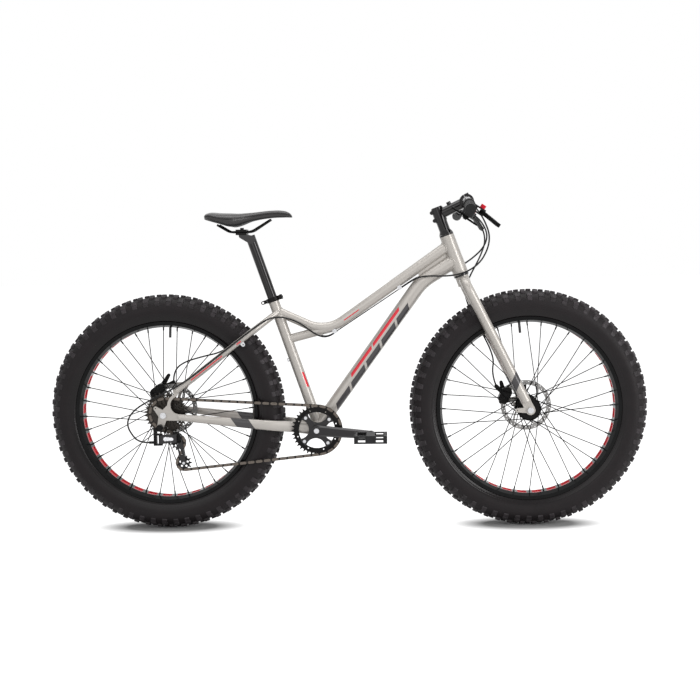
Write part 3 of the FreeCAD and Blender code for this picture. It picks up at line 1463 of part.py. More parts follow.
def caliper(name, axle, angle, rotor_y, mount_face, plate, tip, stop):
    centre, low_ear, high_ear = ear_points(axle, angle)
    along = V(-sin(angle), 0, cos(angle))
    face = mount_face - seat_gap
    body = strap(centre + along * 11.0, caliper_round, centre - along * 11.0, caliper_round,
                 rotor_y - caliper_inner, face)
    ears = strap(low_ear, 7.0, high_ear, 7.0, face - 7.0, face)
    slot = cross_rod(axle, rotor_y - 1.7, rotor_y + 1.7, rotor_radius + 1.5)
    bore = cross_rod(centre, face - 7.0, face, 6.0 + running_gap)
    bolts = [cross_rod(ear, face - 11.0, face - 7.0, 4.5) for ear in (low_ear, high_ear)]
    outside = mount_face + plate + side_gap
    bracket = strap(centre, 9.0, stop, stop_radius, face - stop_depth - 3.5, face - stop_depth + 3.5)
    save("%s_caliper" % name, joined(body, ears, *bolts, bracket).cut([slot, bore]))
    arm = strap(centre, 10.0, tip, 5.5, outside, outside + arm_thickness)
    shaft = cross_rod(centre, face - 6.5, outside + arm_thickness, 6.0)
    save("%s_caliper_arm" % name, joined(arm, shaft))


def calipers():
    caliper("front", front_axle, front_caliper_angle, front_rotor_y, fork_tab, tab_thickness, front_arm_tip,
            front_housing_stop)
    caliper("rear", rear_axle, rear_caliper_angle, rear_rotor_y, dropout_inner, rear_dropout, rear_arm_tip,
            rear_housing_stop)


# Cables and fittings

top_along = (top_bend - top_head_end).normalize()
top_across = V(top_along.z, 0, -top_along.x)
stop_length = 12.0
stop_side = 9.0
stop_below = 26.0
front_stop = top_head_end + (top_bend - top_head_end) * 0.40 - V(0, 0, stop_below)
rear_stop = top_bend + V(30.0, 0, 2.0)
housing_beside = seat_stay_radius + housing_radius + 3.0
stay_start = on_seat(seat_stay_on_seat_tube)
stay_bend = stay_start + V(-68.0, 0, -50.0)
stay_run = (seat_stay_end - stay_bend).normalize()
below_stay = V(-stay_run.z, 0, stay_run.x)
lug_drop = seat_stay_radius + lug_wall + boss_bore
lug_eye = stay_bend + (seat_stay_end - stay_bend) * lug_on_stay + below_stay * lug_drop


def stop_face(stop, y, sign):
    """Middle of a cable stop's end face, ahead of the stop for sign -1 and behind it for +1."""
    return aside(stop, y) + top_along * (sign * (stop_length / 2 + seat_gap))


def brake_outlet(side):
    origin, out, forward, up = lever_frame(side)
    return origin - out * (barrel_reach + seat_gap) + forward * barrel_forward, out


def shift_outlet():
    origin, out, forward, up = lever_frame(-1)
    reach = pod_centre.x - outlet_reach - seat_gap
    return origin + out * reach + forward * pod_centre.z + up * (pod_foot + outlet_rise), out


def steering_cables():
    start, out = brake_outlet(-1)
    end = stop_face(front_stop, -stop_side, -1)
    brake = [start, start - out * 30.0, head_foot + V(66.0, -96.0, 167.0),
             head_foot + V(90.0, -56.0, 108.0), head_foot + V(66.0, -35.0, 42.0),
             head_foot + V(18.0, -32.0, 6.0), head_foot + V(-40.0, -31.0, -6.0),
             end + V(62.0, -24.0, 36.0), end - top_along * 28.0, end]
    start, out = shift_outlet()
    end = stop_face(front_stop, stop_side, -1)
    shift = [start, start - out * 24.0, head_foot + V(58.0, -62.0, 166.0),
             head_foot + V(84.0, -18.0, 122.0), head_foot + V(74.0, 16.0, 82.0),
             head_foot + V(36.0, 33.0, 46.0), head_foot + V(-10.0, 34.0, 18.0),
             end + V(62.0, 24.0, 36.0), end - top_along * 28.0, end]
    save("steering_cables", cable(brake, housing_radius), cable(shift, housing_radius))


def behind_leg(distance):
    """Point on the line a housing follows behind the left fork leg, at a distance above the axle."""
    back = V(-leg_up.z, 0, leg_up.x)
    clear = fork_leg_radius + housing_radius + 1.0
    return aside(front_axle + leg_up * distance + back * clear, fork_leg_spread)


def front_brake_cable():
    start, out = brake_outlet(1)
    stop = aside(front_housing_stop, fork_tab - seat_gap - stop_depth)
    above = stop + V(-14.0, 2.0, 40.0)
    end = stop + (above - stop).normalize() * (stop_radius + seat_gap)
    points = [start, start - out * 30.0, head_foot + V(66.0, 100.0, 167.0),
              head_foot + V(86.0, 74.0, 108.0), head_foot + V(66.0, 70.0, 52.0),
              head_foot + V(36.0, 84.0, -3.0), head_foot + V(16.0, 97.0, -53.0),
              behind_leg(370.0) + V(0, 14.0, 0), behind_leg(290.0), behind_leg(180.0), above, end]
    save("front_brake_cable", cable(points, housing_radius))


def seat_stay_point(part, y, rise):
    """Point beside a seat stay's long run, at a part of its length from the bend."""
    point = stay_bend + (seat_stay_end - stay_bend) * part
    return V(point.x, y, point.z + rise)


def seat_stay_side(part):
    bend_side = tyre_width / 2 + 14.0
    return bend_side + (dropout_middle - bend_side) * part


def housing_start(side):
    start = stop_face(rear_stop, side * stop_side, 1)
    return [start, start + top_along * 24.0, top_bend + V(-30.0, side * 24.0, -6.0),
            top_bend + V(-80.0, side * 27.0, 35.0), top_seat_end + V(20.0, side * 30.0, -17.0),
            stay_start + V(-25.0, side * 45.0, -15.0),
            seat_stay_point(0.03, side * (seat_stay_side(0) + housing_beside), 7.0)]


def shift_housing():
    points = housing_start(-1)
    for part in (0.55, 0.93):
        points.append(seat_stay_point(part, -seat_stay_side(part) - housing_beside, 6.0))
    out = derailleur_inlet.y
    for x, y, z in ((-42.0, out + 3.0, 48.0), (-94.0, out, 16.0), (-114.0, out, -24.0), (-92.0, out, -66.0)):
        points.append(V(rear_axle.x + x, y, rear_axle.z + z))
    end = derailleur_inlet - V(seat_gap, 0, 0)
    return points + [end - V(24.0, 0, 0), end]


def brake_housing():
    points = housing_start(1)
    points.append(seat_stay_point(0.48, seat_stay_side(0.48) + housing_beside, 9.0))
    stop = aside(rear_housing_stop, dropout_inner - seat_gap - stop_depth)
    above = stop + V(2.0, 0, 34.0)
    end = stop + (above - stop).normalize() * (stop_radius + seat_gap)
    return points + [stop + V(92.0, 7.0, 80.0), stop + V(30.0, 3.0, 62.0), above, end]


def frame_cables():
    inners = []
    for y in (-stop_side, stop_side):
        inners.append(rod(stop_face(front_stop, y, 1), stop_face(rear_stop, y, -1), inner_cable_radius))
    housings = [cable(route, housing_radius) for route in (shift_housing(), brake_housing())]
    save("frame_cables", *housings, *inners)


def fittings():
    block = Part.makeBox(stop_length, 2 * stop_side + 8.0, 13.5, V(-stop_length / 2, -stop_side - 4.0, -3.5))
    pieces = [placed(block, stop, top_along, top_across).cut([top_outer, brace_solid])
              for stop in (front_stop, rear_stop)]
    boss_foot = on_seat(seat_tube_length - boss_below_collar)
    boss = rod(boss_foot, boss_foot - seat_forward * (seat_tube_radius + 6.0), 5.5)
    thread = rod(boss_foot - seat_forward * seat_tube_radius, boss_foot - seat_forward * 40.0, boss_bore)
    pieces.append(boss.cut([seat_solid, thread]))
    for side in (-1, 1):
        stay = seat_stay_point(lug_on_stay, side * seat_stay_side(lug_on_stay), 0)
        lug = strap(stay, boss_radius + 1.0, lug_eye, boss_radius, stay.y - 5.0, stay.y + 5.0)
        near = seat_stay_point(0, side * seat_stay_side(0), 0)
        far = seat_stay_point(0.4, side * seat_stay_side(0.4), 0)
        eye = cross_rod(lug_eye, -200.0, 200.0, boss_bore)
        pieces.append(lug.cut([rod(near, far, seat_stay_radius), eye]))
    save("frame_fittings", *pieces)


def main():
    os.makedirs("parts", exist_ok=True)
    frame_tubes()
    rear_triangle()
    headset()
    bottom_bracket()
    seat_collar()
    seat_post()
    saddle_clamp()
    saddle_rails()
    saddle()
    fork()
    stem()
    handlebar()
    lever_brackets()
    brake_levers()
    shift_levers()
    wheel("front", front_axle, front_valve_angle, front_left_flange, front_right_flange, front_flange_radius,
          front_hub_end, -front_hub_end, front_rotor_y)
    wheel("rear", rear_axle, rear_valve_angle, rear_left_flange, rear_right_flange, rear_flange_radius,
          rear_hub_left, rear_hub_right, rear_rotor_y)
    axles()
    cassette()
    chain()
    chainring()
    cranks()
    pedals()
    derailleur()
    derailleur_cage()
    calipers()
    steering_cables()
    front_brake_cable()
    frame_cables()
    fittings()


main()
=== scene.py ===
"""Fat tire bicycle in a plain studio. Metres, in the frame of the part: X forward, Y left, Z up."""
from math import acos, atan2, cos, exp, pi, radians, sin, sqrt

import bpy
from mathutils import Matrix, Vector


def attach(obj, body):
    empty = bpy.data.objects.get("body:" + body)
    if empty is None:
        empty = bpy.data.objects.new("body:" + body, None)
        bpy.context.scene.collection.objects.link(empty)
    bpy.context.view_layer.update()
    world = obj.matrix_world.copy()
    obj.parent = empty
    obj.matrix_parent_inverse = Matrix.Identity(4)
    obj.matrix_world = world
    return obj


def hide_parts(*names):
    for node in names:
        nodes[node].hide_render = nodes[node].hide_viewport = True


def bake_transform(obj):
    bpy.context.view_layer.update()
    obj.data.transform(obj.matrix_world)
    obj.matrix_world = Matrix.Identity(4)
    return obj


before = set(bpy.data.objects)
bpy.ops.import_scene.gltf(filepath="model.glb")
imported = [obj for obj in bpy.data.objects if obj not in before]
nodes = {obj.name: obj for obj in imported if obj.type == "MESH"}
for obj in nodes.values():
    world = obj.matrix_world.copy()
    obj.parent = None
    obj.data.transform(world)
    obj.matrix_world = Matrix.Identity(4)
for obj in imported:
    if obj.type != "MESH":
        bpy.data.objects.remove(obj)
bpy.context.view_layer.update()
scene = bpy.context.scene

# Camera
camera_place = (0.135, -3.669, 0.872)
camera_yaw = radians(-1.93)
camera_pitch = radians(4.84)
camera_roll = radians(-0.96)
camera_lens = 60.05
camera_sensor = 36.0

# Wheels
tyre_radius = 0.373
half_wheelbase = 0.569
tyre_middle = 0.326
tyre_half = 0.048
casing_crown = 0.366
casing_half = 0.0468
rim_lip = 0.289
bead_foot = 0.2806
bead_half = 0.0353
wall_bulge = 0.78
wall_ridge = 0.0007
wall_ridge_steps = (3, 6)
knob_count = 60
knob_rows = (
    # first and last profile angle, length, shift along the row
    (3.0, 17.4, 0.0165, 0.0),
    (18.6, 33.0, 0.0150, 0.0),
    (39.0, 55.4, 0.0175, 0.5),
    (56.6, 72.0, 0.0160, 0.5))
knob_levels = (
    # height between the casing and the knob tops, scale of the outline
    (-0.3, 1.04), (0.75, 0.94), (0.93, 0.90), (1.0, 0.80))
knob_outline = ((-1, -0.6), (-0.8, -1), (0.8, -1), (1, -0.6), (1, 0.6), (0.8, 1), (-0.8, 1), (-1, 0.6))
# radii between which the wall goes from matt to polished
polished_wall = (0.318, 0.300)
wall_lines = 5200.0
wall_lines_fade = (0.296, 0.298)
wheel_turns = {"front": radians(-5.6), "rear": radians(2.7)}

# Saddle
saddle_tail = -0.4362
saddle_length = 0.274
saddle_half = 0.075
saddle_level = 0.9911
saddle_hollow = 0.55
saddle_rounding = 0.03
saddle_tip = 0.0004
saddle_rows = 90
saddle_around = 72
# parts of the way round between which the hard shell lies
shell_share = (0.56, 0.94)
relief_depth = 0.0028
relief_half = 0.012
relief_run = (0.10, 0.85)
piping_angles = (radians(2), radians(178))
piping_radius = 0.0011
piping_steps = 120
stitch_angles = (radians(16), radians(164))
stitch_count = 74
stitch = (
    # part of the stitch's room, radius
    (0.1, 0.0003), (0.35, 0.0005), (0.6, 0.0005), (0.8, 0.0003))
saddle_stations = (
    # part of the length, half width, crown, edge and base heights, draw-in of the base
    (0.0, 0.72, 0.002, -0.006, -0.016, 0.86),
    (0.08, 0.92, 0.008, -0.006, -0.025, 0.88),
    (0.20, 1.0, 0.006, -0.013, -0.035, 0.90),
    (0.31, 0.93, 0.005, -0.016, -0.045, 0.90),
    (0.40, 0.76, 0.004, -0.015, -0.041, 0.88),
    (0.55, 0.46, 0.007, -0.008, -0.025, 0.86),
    (0.75, 0.30, 0.012, 0.000, -0.017, 0.84),
    (0.92, 0.25, 0.009, -0.001, -0.015, 0.82),
    (1.0, 0.13, -0.002, -0.007, -0.014, 0.80))

# Cables
housing_radius = 0.0025
ferrule_profile = (
    # distance from the housing's end, radius
    (0.0, 0.0026), (0.0, 0.0033), (0.0008, 0.0036), (0.0060, 0.0036), (0.0066, 0.0033),
    (0.0074, 0.0033), (0.0080, 0.0036), (0.0105, 0.0036), (0.0115, 0.0030), (0.0120, 0.0026))
front_brake_route = (
    (0.3961, 0.1631, 0.9963), (0.3973, 0.1334, 1.0003), (0.4285, 0.1000, 0.9617),
    (0.4485, 0.0740, 0.9027), (0.4285, 0.0700, 0.8467), (0.3985, 0.0840, 0.7917),
    (0.3785, 0.0970, 0.7417), (0.3874, 0.0860, 0.6959), (0.4230, 0.0720, 0.6243),
    (0.4719, 0.0720, 0.5258), (0.4614, 0.0599, 0.4749), (0.4735, 0.0582, 0.4401))
rear_brake_steering_route = (
    (0.3961, -0.1631, 0.9963), (0.3973, -0.1334, 1.0003), (0.4285, -0.0960, 0.9617),
    (0.4525, -0.0560, 0.9027), (0.4285, -0.0350, 0.8367), (0.3805, -0.0320, 0.8007),
    (0.3225, -0.0310, 0.7887), (0.2393, -0.0330, 0.7927), (0.2003, -0.0090, 0.7726),
    (0.1773, -0.0090, 0.7567))
shift_steering_route = (
    (0.3773, -0.1245, 0.9846), (0.3782, -0.1007, 0.9878), (0.4205, -0.0620, 0.9607),
    (0.4465, -0.0180, 0.9167), (0.4365, 0.0160, 0.8767), (0.3985, 0.0330, 0.8407),
    (0.3525, 0.0340, 0.8127), (0.2393, 0.0330, 0.7927), (0.2003, 0.0090, 0.7726),
    (0.1773, 0.0090, 0.7567))
shift_frame_route = (
    (-0.0383, -0.0090, 0.6155), (-0.0581, -0.0090, 0.6019), (-0.0933, -0.0240, 0.6110),
    (-0.1433, -0.0270, 0.6520), (-0.1963, -0.0300, 0.6710), (-0.2398, -0.0450, 0.6685),
    (-0.2901, -0.0771, 0.6350), (-0.4171, -0.0930, 0.5380), (-0.5099, -0.1041, 0.4679),
    (-0.6110, -0.1045, 0.4210), (-0.6630, -0.1075, 0.3890), (-0.6830, -0.1075, 0.3490),
    (-0.6610, -0.1075, 0.3070), (-0.6365, -0.1075, 0.2910), (-0.6125, -0.1075, 0.2910))
brake_frame_route = (
    (-0.0383, 0.0090, 0.6155), (-0.0581, 0.0090, 0.6019), (-0.0933, 0.0240, 0.6110),
    (-0.1433, 0.0270, 0.6520), (-0.1963, 0.0300, 0.6710), (-0.2398, 0.0450, 0.6685),
    (-0.2901, 0.0771, 0.6350), (-0.4000, 0.0910, 0.5539), (-0.4737, 0.0859, 0.5388),
    (-0.5357, 0.0819, 0.5208), (-0.5637, 0.0789, 0.4928), (-0.5654, 0.0789, 0.4644))
bare_cable_ends = ((0.1673, 0.7498), (-0.0284, 0.6223))
bare_cable_sides = (-0.009, 0.009)
strand_count = 5
strand_radius = 0.00062
strand_offset = 0.0008
strand_steps = 160
# steps to a turn of a strand
strand_lay = 16

# Right lever clamp and the cap on it
lever_clamp = Vector((0.3766, -0.1919, 1.0044))
lever_ahead = Vector((0.841, 0.040, -0.540))
lever_up = Vector((0.540, -0.133, 0.831))
cap_foot = 0.0104
cap_reach = (0.031, 0.050)

# Ribs of the grips
rib_pitch = 0.0036
ribbed_run = (0.234, 0.322)

# Spokes
spoke_count = 36
spoke_radius = 0.00135
spoke_lead = radians(60.0)
spoke_stagger = 0.009
spoke_rim_circle = 0.2693
spoke_beside_flange = 0.0049
spoke_head_beyond = 0.0034
nipple_length = 0.011
nipple_radius = 0.0023
# right and left flange places and the circle of their spoke holes
hub_flanges = {"front": (-0.042, 0.033, 0.0325), "rear": (-0.034, 0.052, 0.0295)}

# Rims
window_step = radians(10.0)
window_half = radians(3.15)
window_half_width = 0.0185
strip_radii = (0.2725, 0.2742)

# Brake rotors
rotor_sides = {"front": 0.052, "rear": 0.072}
rotor_radius = 0.080
rotor_thickness = 0.0018
rotor_pilot = 0.017
rotor_openings = (0.030, 0.0655)
rotor_arm_count = 6
rotor_arm_width = 0.0065
rotor_sweep = radians(24.0)
rotor_hole_count = 48
rotor_hole_radius = 0.0017
rotor_hole_circles = (0.0705, 0.0755)
rotor_bolt_circle = 0.022
rotor_bolt_radius = 0.0038
rotor_bolt_height = 0.0028

# Derailleur cage and link
cage_pivot = (-0.5309, 0.3000)
guide_centre = (-0.5324, 0.2821)
tension_centre = (-0.5149, 0.2173)
cage_sides = (-0.0629, -0.0511)
cage_thickness = 0.002
cage_pivot_round = 0.0115
cage_tension_round = 0.0078
cage_slot = (
    # part of the way from the guide pulley to the tension pulley, radius
    (0.34, 0.0034), (0.58, 0.0028))
cage_stud_end = -0.0729
cage_stud_radius = 0.004
pulley_bolt_radius = 0.0022
pulley_bolt_beyond = 0.0022
bolt_head_radius = 0.0042
bolt_head_beyond = 0.0026
link_base = Vector((-0.5764, -0.1075, 0.3000))
link_tip = Vector((-0.5364, -0.0855, 0.3000))
link_round = 0.0065
link_plate_ends = (
    # place along and across the link, radius
    ((-0.011, 0.0012), 0.0062), ((0.011, -0.0012), 0.0048))
link_plate_levels = (
    # depth, trim of the outline
    (-0.0004, 0.0), (0.0006, 0.0), (0.0010, 0.0006))

# Chain
chain_line = 0.057
inner_plate_side = 0.0023

# Studio
# The floor glows white except in an ellipse at each wheel's foot, where its grey shows dark: a painted shadow
# of the sizes below.
painted_shadow_glow = 0.0
far_glow = 0.95
glow_edge = (0.7, 1.25)
sky_light = 0.30
painted_shadow_half_length = 0.20
painted_shadow_half_width = 0.085
floor_half = 30.0
floor_grey = 0.42
lamps = (
    # name, place, target, width, height, watts
    ("key", (-1.2, -3.4, 1.9), (0.0, 0.0, 0.5), 3.2, 2.6, 30.0),
    ("side", (2.6, -2.0, 1.3), (0.0, 0.0, 0.6), 0.9, 2.4, 54.0),
    ("top", (0.1, -0.1, 3.2), (0.1, 0.0, 0.0), 2.8, 1.8, 46.0))

# Frame lines that welds and stripes follow
seat_foot = Vector((-0.0904, 0.0, 0.3160))
seat_up = Vector((-0.3206, 0.0, 0.9472))
head_foot = Vector((0.3625, 0.0, 0.7947))
steer_up = Vector((-0.3371, 0.0, 0.9415))
shell_middle = Vector((-0.0944, 0.0, 0.3160))
top_bend = Vector((-0.0633, 0.0, 0.6170))
top_seat_end = Vector((-0.2163, 0.0, 0.6880))
top_head_end = Vector((0.3293, 0.0, 0.8874))
down_head_end = Vector((0.3463, 0.0, 0.8399))
down_bend = Vector((0.2383, 0.0, 0.7719))
stay_bend = Vector((-0.2828, 0.0, 0.6335))
stay_end = Vector((-0.5270, 0.0, 0.4490))
fork_crown = Vector((0.3699, 0.0, 0.7739))
gusset_thickness = 0.014
gusset_reach = 0.27
weld_radius = 0.0021
weld_ripple = 0.16
front_axle = Vector((half_wheelbase, 0.0, tyre_radius))


def linear(*channels):
    """Colour from 0 to 255 as a screen shows it, in linear light."""
    return tuple(c / 255 / 12.92 if c < 11 else ((c / 255 + 0.055) / 1.055) ** 2.4 for c in channels)


silver_paint = linear(182, 177, 171)
stripe_red = linear(214, 24, 46)
stripe_dark = linear(58, 56, 58)
black = linear(20, 20, 21)
dull_shine = 0.22
paints = (
    # key, name, stripes: colour, start and end of a line, run along it, reach across it, slant
    ("plain_paint", "silver_paint"),
    ("top_tube", "top_tube_paint",
     (stripe_red, top_bend, top_head_end, (0.070, 0.128), (-0.002, 0.001), 0.8)),
    ("down_tube", "down_tube_paint",
     *[(stripe_dark, shell_middle, down_bend, along, (-0.019, -0.002), 0.9)
       for along in ((0.100, 0.172), (0.182, 0.254), (0.264, 0.336), (0.346, 0.418), (0.428, 0.490))],
     *[(stripe_red, shell_middle, down_bend, along, (0.005, 0.014), 0.9)
       for along in ((0.190, 0.300), (0.308, 0.448))]),
    ("seat_tube", "seat_tube_paint",
     (stripe_red, seat_foot, seat_foot + seat_up, (0.141, 0.190), (-0.0150, -0.0090), 0.5)),
    ("rear_stays", "stay_paint",
     (stripe_red, stay_bend, stay_end, (0.125, 0.247), (0.0004, 0.0042), 0.6),
     (stripe_red, stay_bend, stay_end, (0.052, 0.069), (0.0004, 0.0042), 0.6),
     (stripe_dark, shell_middle, Vector((-0.52, 0, 0.372)), (0.205, 0.262), (-0.02, 0.02), -0.9)),
    ("fork", "fork_paint",
     (stripe_dark, front_axle, fork_crown, (0.085, 0.118), (-0.02, 0.02), -0.9)))
dark_metals = (
    # key, name, darker and lighter colour, roughness, shine, gloss, grain
    ("satin_black", "satin_black", (14, 13, 13), (24, 23, 23), 0.36, 0.16, 0.0, 300.0),
    ("gloss_black", "gloss_black", (10, 7, 9), (18, 14, 17), 0.17, 0.12, 0.6, 120.0),
    ("spoke", "spoke_black", (9, 9, 9), (18, 18, 18), 0.5, 0.1, 0.0, 300.0),
    ("matt", "lever_black", (8, 8, 8), (14, 14, 14), 0.55, 0.1, 0.0, 300.0))
bare_metals = (
    # key, name, darker and lighter colour, roughness
    ("bright", "bright_metal", (176, 177, 180), (208, 208, 210), 0.28),
    ("rotor", "ground_steel", (118, 117, 116), (160, 158, 156), 0.32),
    ("cogs", "cog_steel", (31, 29, 27), (66, 62, 58), 0.36))
mouldings = (
    # key, name, darker and lighter colour, roughness, grain, depth of the grain
    ("rubber", "soft_rubber", (18, 18, 19), (32, 32, 33), 0.6, 700.0, 0.0001),
    ("plastic", "moulded_plastic", (18, 18, 19), (34, 34, 36), 0.46, 1100.0, 0.00008),
    ("cover", "housing_cover", (15, 15, 16), (27, 27, 28), 0.36, 1500.0, 0.00004),
    ("thread", "thread", (30, 30, 31), (48, 48, 50), 0.7, 4000.0, 0.0001),
    # The knob rubber is lighter than the casing rubber of the same tyre: a painted highlight on the knobs.
    ("knob", "knob_rubber_painted_highlight", (30, 26, 28), (58, 53, 56), 0.42, 800.0, 0.00015))


# Camera

def make_camera():
    right = Vector((cos(camera_yaw), -sin(camera_yaw), 0))
    ahead = Vector((sin(camera_yaw), cos(camera_yaw), 0))
    up = Vector((0, 0, 1))
    view = ahead * cos(camera_pitch) - up * sin(camera_pitch)
    lifted = up * cos(camera_pitch) + ahead * sin(camera_pitch)
    across = right * cos(camera_roll) + lifted * sin(camera_roll)
    above = lifted * cos(camera_roll) - right * sin(camera_roll)
    data = bpy.data.cameras.new("camera")
    data.sensor_width = camera_sensor
    data.lens = camera_lens
    data.clip_end = 50.0
    camera = placed("camera", data)
    turn = Matrix((across, above, -view)).transposed().to_4x4()
    camera.matrix_world = Matrix.Translation(camera_place) @ turn
    scene.camera = camera


# Building meshes

def placed(name, data):
    obj = bpy.data.objects.new(name, data)
    scene.collection.objects.link(obj)
    return obj


def piece(name, vertices, faces, smooth=True):
    mesh = bpy.data.meshes.new(name)
    mesh.from_pydata(vertices, [], faces)
    mesh.update()
    if smooth:
        mesh.shade_smooth()
    else:
        mesh.shade_flat()
    return placed(name, mesh)


def dress(obj, *materials):
    obj.data.materials.clear()
    for material in materials:
        obj.data.materials.append(material)


def settle(obj, body, slot_name, *replaced):
    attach(obj, body)
    if replaced:
        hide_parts(*replaced)


def fitted(name, built, materials, body, slot_name, *replaced, smooth=True):
    """Piece in its materials that rides on a body."""
    obj = piece(name, *built, smooth)
    dress(obj, *materials)
    settle(obj, body, slot_name, *replaced)
    return obj


def second_finish(obj, first):
    """Second material on the faces from a number on."""
    for polygon in obj.data.polygons[first:]:
        polygon.material_index = 1


def add_loops(built, loops):
    """Skin between rings of equal count, closed at both ends."""
    vertices, faces = built
    count = len(loops[0])
    first = len(vertices)
    for loop in loops:
        vertices.extend(loop)
    for row in range(len(loops) - 1):
        for k in range(count):
            a = first + row * count + k
            b = first + row * count + (k + 1) % count
            faces.append((a, b, b + count, a + count))
    faces.append(tuple(range(first + count - 1, first - 1, -1)))
    last = first + (len(loops) - 1) * count
    faces.append(tuple(range(last, last + count)))


def frames_along(points):
    """Two directions across a line at each of its points, carried along without twist."""
    tangents = []
    for k in range(len(points)):
        ahead = points[min(k + 1, len(points) - 1)] - points[max(k - 1, 0)]
        tangents.append(ahead.normalized())
    side = tangents[0].orthogonal().normalized()
    result = []
    for tangent in tangents:
        side = (side - tangent * side.dot(tangent)).normalized()
        result.append((side, tangent.cross(side)))
    return result


def ring(centre, side, other, radius, count):
    turn = 2 * pi / count
    return [centre + (side * cos(k * turn) + other * sin(k * turn)) * radius for k in range(count)]


def add_tube(built, points, radii, count):
    loops = []
    for point, (side, other), radius in zip(points, frames_along(points), radii):
        loops.append(ring(point, side, other, radius, count))
    add_loops(built, loops)


# Cables

def route_points(name, route):
    """Points of the smooth line that has the route as its control points."""
    curve = bpy.data.curves.new(name, "CURVE")
    curve.dimensions = "3D"
    spline = curve.splines.new("NURBS")
    spline.points.add(len(route) - 1)
    for point, place in zip(spline.points, route):
        point.co = (*place, 1.0)
    spline.order_u = 3
    spline.use_endpoint_u = True
    spline.resolution_u = 12
    obj = bpy.data.objects.new(name, curve)
    line = bpy.data.meshes.new_from_object(obj)
    points = [vertex.co.copy() for vertex in line.vertices]
    bpy.data.objects.remove(obj)
    bpy.data.curves.remove(curve)
    bpy.data.meshes.remove(line)
    return points


def add_ferrule(built, end, inward):
    """Crimped metal cap over the last few millimetres of a housing."""
    along = inward.normalized()
    points = [end + along * distance for distance, radius in ferrule_profile]
    add_tube(built, points, [radius for distance, radius in ferrule_profile], 20)


def housings(name, routes, cover, metal):
    """Cable housings along their routes, and the metal caps on their ends."""
    built = [], []
    caps = [], []
    for k, route in enumerate(routes):
        points = route_points("%s_line_%d" % (name, k), route)
        add_tube(built, points, [housing_radius] * len(points), 14)
        add_ferrule(caps, points[0], points[1] - points[0])
        add_ferrule(caps, points[-1], points[-2] - points[-1])
    covers = piece(name, *built)
    ends = piece(name + "_caps", *caps)
    dress(covers, cover)
    dress(ends, metal)
    return covers, ends


def bare_cables(metal):
    """Twisted steel strands between the two pairs of cable stops under the top tube."""
    built = [], []
    (x0, z0), (x1, z1) = bare_cable_ends
    for y in bare_cable_sides:
        start = Vector((x0, y, z0))
        end = Vector((x1, y, z1))
        along = (end - start).normalized()
        side = Vector((0, 1, 0))
        other = along.cross(side)
        for strand in range(strand_count):
            points = []
            for k in range(strand_steps + 1):
                angle = 2 * pi * (strand / strand_count + k / strand_lay)
                off = (side * cos(angle) + other * sin(angle)) * strand_offset
                points.append(start.lerp(end, k / strand_steps) + off)
            add_tube(built, points, [strand_radius] * len(points), 5)
    fitted("bare_cables", built, [metal], "frame", "bright_metal")


def make_cables(cover, metal, strand):
    routes = rear_brake_steering_route, shift_steering_route
    steering, steering_caps = housings("steering_housings", routes, cover, metal)
    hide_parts("steering_cables")
    for obj in (steering, steering_caps):
        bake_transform(obj)
    for name, routes, body, node in (
            ("front_brake_housing", (front_brake_route,), "steering", "front_brake_cable"),
            ("frame_housings", (shift_frame_route, brake_frame_route), "frame", "frame_cables")):
        covers, caps = housings(name, routes, cover, metal)
        settle(covers, body, "cable_cover", node)
        settle(caps, body, "bright_metal")
    bare_cables(strand)


# Tyres

def wheel_point(axle_x, radius, turn, side):
    return Vector((axle_x + radius * sin(turn), side, tyre_radius + radius * cos(turn)))


def tread_point(axle_x, turn, profile, height):
    """Point at a height of 0 on the casing and 1 on the knob tops."""
    rise = casing_crown + (tyre_radius - casing_crown) * height - tyre_middle
    half = casing_half + (tyre_half - casing_half) * height
    return wheel_point(axle_x, tyre_middle + rise * cos(profile), turn, half * sin(profile))


def add_knob(built, axle_x, turn, first, last, length):
    profile = radians(first + last) / 2
    half_profile = radians(last - first) / 2
    radius = tyre_middle + (tyre_radius - tyre_middle) * cos(profile)
    half_turn = length / 2 / radius
    loops = []
    for height, scale in knob_levels:
        loops.append([tread_point(axle_x, turn + u * half_turn * scale, profile + v * half_profile * scale,
                                  height) for u, v in knob_outline])
    add_loops(built, loops)


def casing_profile():
    """Radius and side of the casing from one bead to the other, with two moulded ridges on each wall."""
    wall = [(bead_foot, bead_half), (rim_lip - 0.0008, bead_half), (rim_lip + 0.0006, bead_half + 0.0008)]
    wall_steps = 18
    for k in range(1, wall_steps + 1):
        t = k / wall_steps
        radius = rim_lip + (tyre_middle - rim_lip) * t
        side = bead_half + (casing_half - bead_half) * sin(t * pi / 2) ** wall_bulge
        ridge = wall_ridge if k in wall_ridge_steps else 0.0
        wall.append((radius, side + ridge))
    crown_steps = 22
    for k in range(1, crown_steps + 1):
        angle = pi / 2 * (1 - k / crown_steps)
        wall.append((tyre_middle + (casing_crown - tyre_middle) * cos(angle), casing_half * sin(angle)))
    return wall + [(radius, -side) for radius, side in reversed(wall[:-1])]


